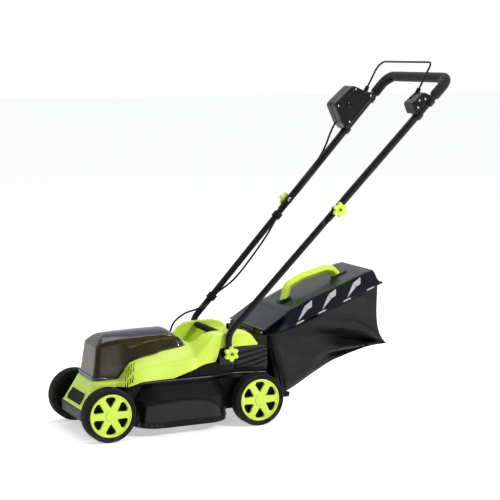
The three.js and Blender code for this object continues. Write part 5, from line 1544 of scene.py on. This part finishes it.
def make_switch_box():
    """Two half shells with a raised panel, clamped to the right leg above the middle joint."""
    outline = rounded_outline([(284, 12, 3), (300, 13, 3), (418, 13, 3), (434, 14, 6), (412, 46, 8), (395, 90, 12),
                               (308, 98, 14), (285, 36, 12)], 5)
    inner = plate("switch_half_inner", outline, BOX_INNER, 157.6, edge=4, steps=4, place=on_leg)
    outer = plate("switch_half_outer", outline, 158.4, BOX_OUTER, edge=4, steps=4, place=on_leg)
    middle = plate("switch_seam", shrunk(outline, 1.2), 156, 160, edge=0.2, place=on_leg)
    panel = plate("switch_panel", rounded_outline([(300, 30, 4), (404, 30, 4), (396, 52, 5), (384, 82, 6),
                                                   (318, 88, 8), (298, 44, 5)], 4), 125.4, 129, edge=1.6,
                  place=on_leg)
    collar = plate("button_collar", rounded_outline([(328, 48, 4), (352, 48, 4), (352, 72, 4), (328, 72, 4)], 4),
                   124.8, 127.5, holes=[circle(10, 32, BUTTON)], edge=0.8, place=on_leg)
    cut(middle, bail_slot(143, 157.2))
    cut(inner, bail_slot(143, 157.2), pin("hole", on_leg(*BUTTON, 110), on_leg(*BUTTON, 145), 9.6, 0.1, 40))
    cut(panel, pin("hole", on_leg(*BUTTON, 110), on_leg(*BUTTON, 145), 9.6, 0.1, 40))
    joined(inner, panel, middle, collar, clamp("clamp_low", 293, 1), clamp("clamp_high", 424, 1))
    fitted(shown(inner, GLOSS), "upper_handle", "black_plastic", "switch_box_inner")
    fitted(shown(outer, GLOSS), "upper_handle", "black_plastic", "switch_box_outer")
    screws = [screw(s, n, BOX_INNER, -1) for s, n in ((306, 22), (414, 24), (392, 76), (314, 84))]
    screws += [screw(s, n, BOX_OUTER, 1) for s, n in ((300, 26), (414, 26), (386, 80), (316, 86))]
    fitted(shown(joined(*screws), STEEL), "upper_handle", "bare_steel")
    cap = turned("button_cap", [(0.01, -5.0), (6.6, -5.0), (8.4, -4.2), (9, -2.6), (9, 9), (0.01, 9)],
                 on_leg(*BUTTON, BOX_INNER), (0, 1, 0), 40)
    fitted(shown(cap, GLOSS), "button", "black_plastic", "safety_button")


def bail_slot(low, high):
    """What is cut out where the bail turns."""
    return plate("slot", [(392, 24), (460, 24), (460, 92), (392, 92)], low, high, edge=0, place=on_leg)


def make_bail_bracket():
    """The smaller mount on the left leg, with a raised panel and three screws."""
    outline = rounded_outline([(359, 12, 4), (436, 12, 5), (424, 40, 8), (373, 46, 9)], 5)
    body = plate("bracket_body", outline, -187, -136, edge=3.2, steps=4, place=on_leg)
    cut(body, bail_slot(-157, -143))
    panel = plate("bracket_panel", rounded_outline([(372, 18, 3), (420, 18, 3), (412, 34, 5), (380, 38, 6)], 4),
                  -188.2, -186, edge=0.9, place=on_leg)
    joined(body, panel, clamp("clamp_a", 370, -1, 18), clamp("clamp_b", 424, -1, 18))
    fitted(shown(body, GLOSS), "upper_handle", "black_plastic", "bail_bracket")
    screws = [screw(s, n, -188.2, -1) for s, n in ((378, 24), (412, 24), (396, 35))]
    fitted(shown(joined(*screws), STEEL), "upper_handle", "bare_steel")


BAIL_S, BAIL_N, BAIL_Y, BAIL_LENGTH = 405, 34, 150, 118
BAIL_TILT = math.radians(61) - LEAN


def on_bail(r, y):
    """A point r along the bail from its pivot."""
    return on_leg(BAIL_S + r * math.cos(BAIL_TILT), BAIL_N + r * math.sin(BAIL_TILT), y)


def make_bail():
    """The wire hoop with a boss and pivot at each end, and a ribbed sleeve on each leg."""
    route = smooth_line([on_bail(0, -BAIL_Y), on_bail(BAIL_LENGTH, -BAIL_Y), on_bail(BAIL_LENGTH, BAIL_Y),
                         on_bail(0, BAIL_Y)], (15, 34), 2.5, 18)
    wire = swept("bail_loop", route, 3.0, 16)
    parts = []
    for side in (-1, 1):
        parts.append(turned("boss", [(0.01, -6.4), (7.2, -6.4), (8, -5.6), (8, 5.6), (7.2, 6.4), (0.01, 6.4)],
                            on_leg(BAIL_S, BAIL_N, side * BAIL_Y), (0, 1, 0), 32))
        parts.append(pin("pivot", on_leg(BAIL_S, BAIL_N, side * (BAIL_Y - 11)),
                         on_leg(BAIL_S, BAIL_N, side * (BAIL_Y + 11)), 3.9, 0.5, 24))
    joined(wire, *parts)
    fitted(shown(wire, TUBE), "bail", "bare_steel", "bail_wire")
    for name, side in SIDES:
        profile = [(3.2, 11), (6.2, 11)]
        for k in range(6):
            start = 12 + k * 3.1
            profile += [(6.5, start), (6.5, start + 1.8), (5.4, start + 2.2), (5.4, start + 2.8)]
        profile += [(6.2, 31), (3.2, 31), (3.2, 11)]
        axis = on_bail(1, side * BAIL_Y) - on_bail(0, side * BAIL_Y)
        sleeve = turned(f"bail_boot_{name}", profile, on_bail(0, side * BAIL_Y), axis, 32)
        fitted(shown(sleeve, BLACK), "bail", "black_plastic", f"bail_sleeve_{name}")


def beside(s, n=0.0, dy=0.0):
    """A point just inside the right leg."""
    return on_leg(s, n, leg_y(s) - 15.5 + dy)


def make_cables():
    """The cable from the deck to the switch box, in three runs that meet at the clips."""
    entry = on_leg(281, 46)             # where the cable enters the switch box
    routes = {
        "cable_lower": [(268, 76, 222), (276, 84, 246), (292, 96, 268), (330, 106, 290), (372, 110, 300),
                        beside(-410), beside(-394.3)],
        "cable_middle": [beside(-394), beside(-370), beside(-305, -12, -8), beside(-195, -8, -14),
                         beside(-122, -4, -8), beside(-77), beside(-53)],
        "cable_upper": [beside(-52.7), beside(-37), beside(20, 4, -8), beside(110, 14, -10), beside(190, 26, -8),
                        (entry.x - 22, 146, entry.z - 32), (entry.x - 5, 150, entry.z - 5.2),
                        (entry.x, 150, entry.z)],
    }
    owners = {"cable_lower": ("deck", "lower_handle"), "cable_middle": ("lower_handle", None),
              "cable_upper": ("lower_handle", "upper_handle")}
    radius = 3.0
    for node, corners in routes.items():
        route = curve_through(corners, 3.0)
        cord = swept(f"{node}_run", route, radius)
        length = sum((b - a).length for a, b in zip(route, route[1:])) * MM
        shown(cord, CABLE)
        first, second = owners[node]
        start, end = here(*route[0]), here(*route[-1])
        if second:
            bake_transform(cord)
            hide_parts(node)
        else:
            fitted(cord, first, "cable_rubber", node)
        [here(*p) for p in route]


def make_clips():
    """The two cable clips with the bands that hold them to the tube."""
    for name, s in (("lower", -385), ("upper", -62)):
        refined(f"cable_clip_{name}", 0.8, BLACK)
        y = leg_y(s)
        centre = on_leg(s, 0, y)
        axis = on_leg(s + 1, 0, leg_y(s + 1)) - centre
        bands = []
        for at in (-6, 6):
            ring = [(12.8, at - 1.6), (13.7, at - 1.2), (13.7, at + 1.2), (12.8, at + 1.6), (12.2, at),
                    (12.8, at - 1.6)]
            bands.append(turned("band", ring, centre, axis, 32))
        fitted(shown(joined(*bands), BLACK), "lower_handle", "black_plastic")


# ---------- the scene ----------

make_camera()
make_stage()
make_wheels()
make_gear()
make_deck()
make_cowl()
make_cover()
make_bay()
make_motor()
make_rear_frame()
make_lid()
make_box_handle()
make_bag()
make_front_frame()
make_lower_tubes()
make_upper_tube()
make_grip()
make_knobs()
make_switch_box()
make_bail_bracket()
make_bail()
make_cables()
make_clips()
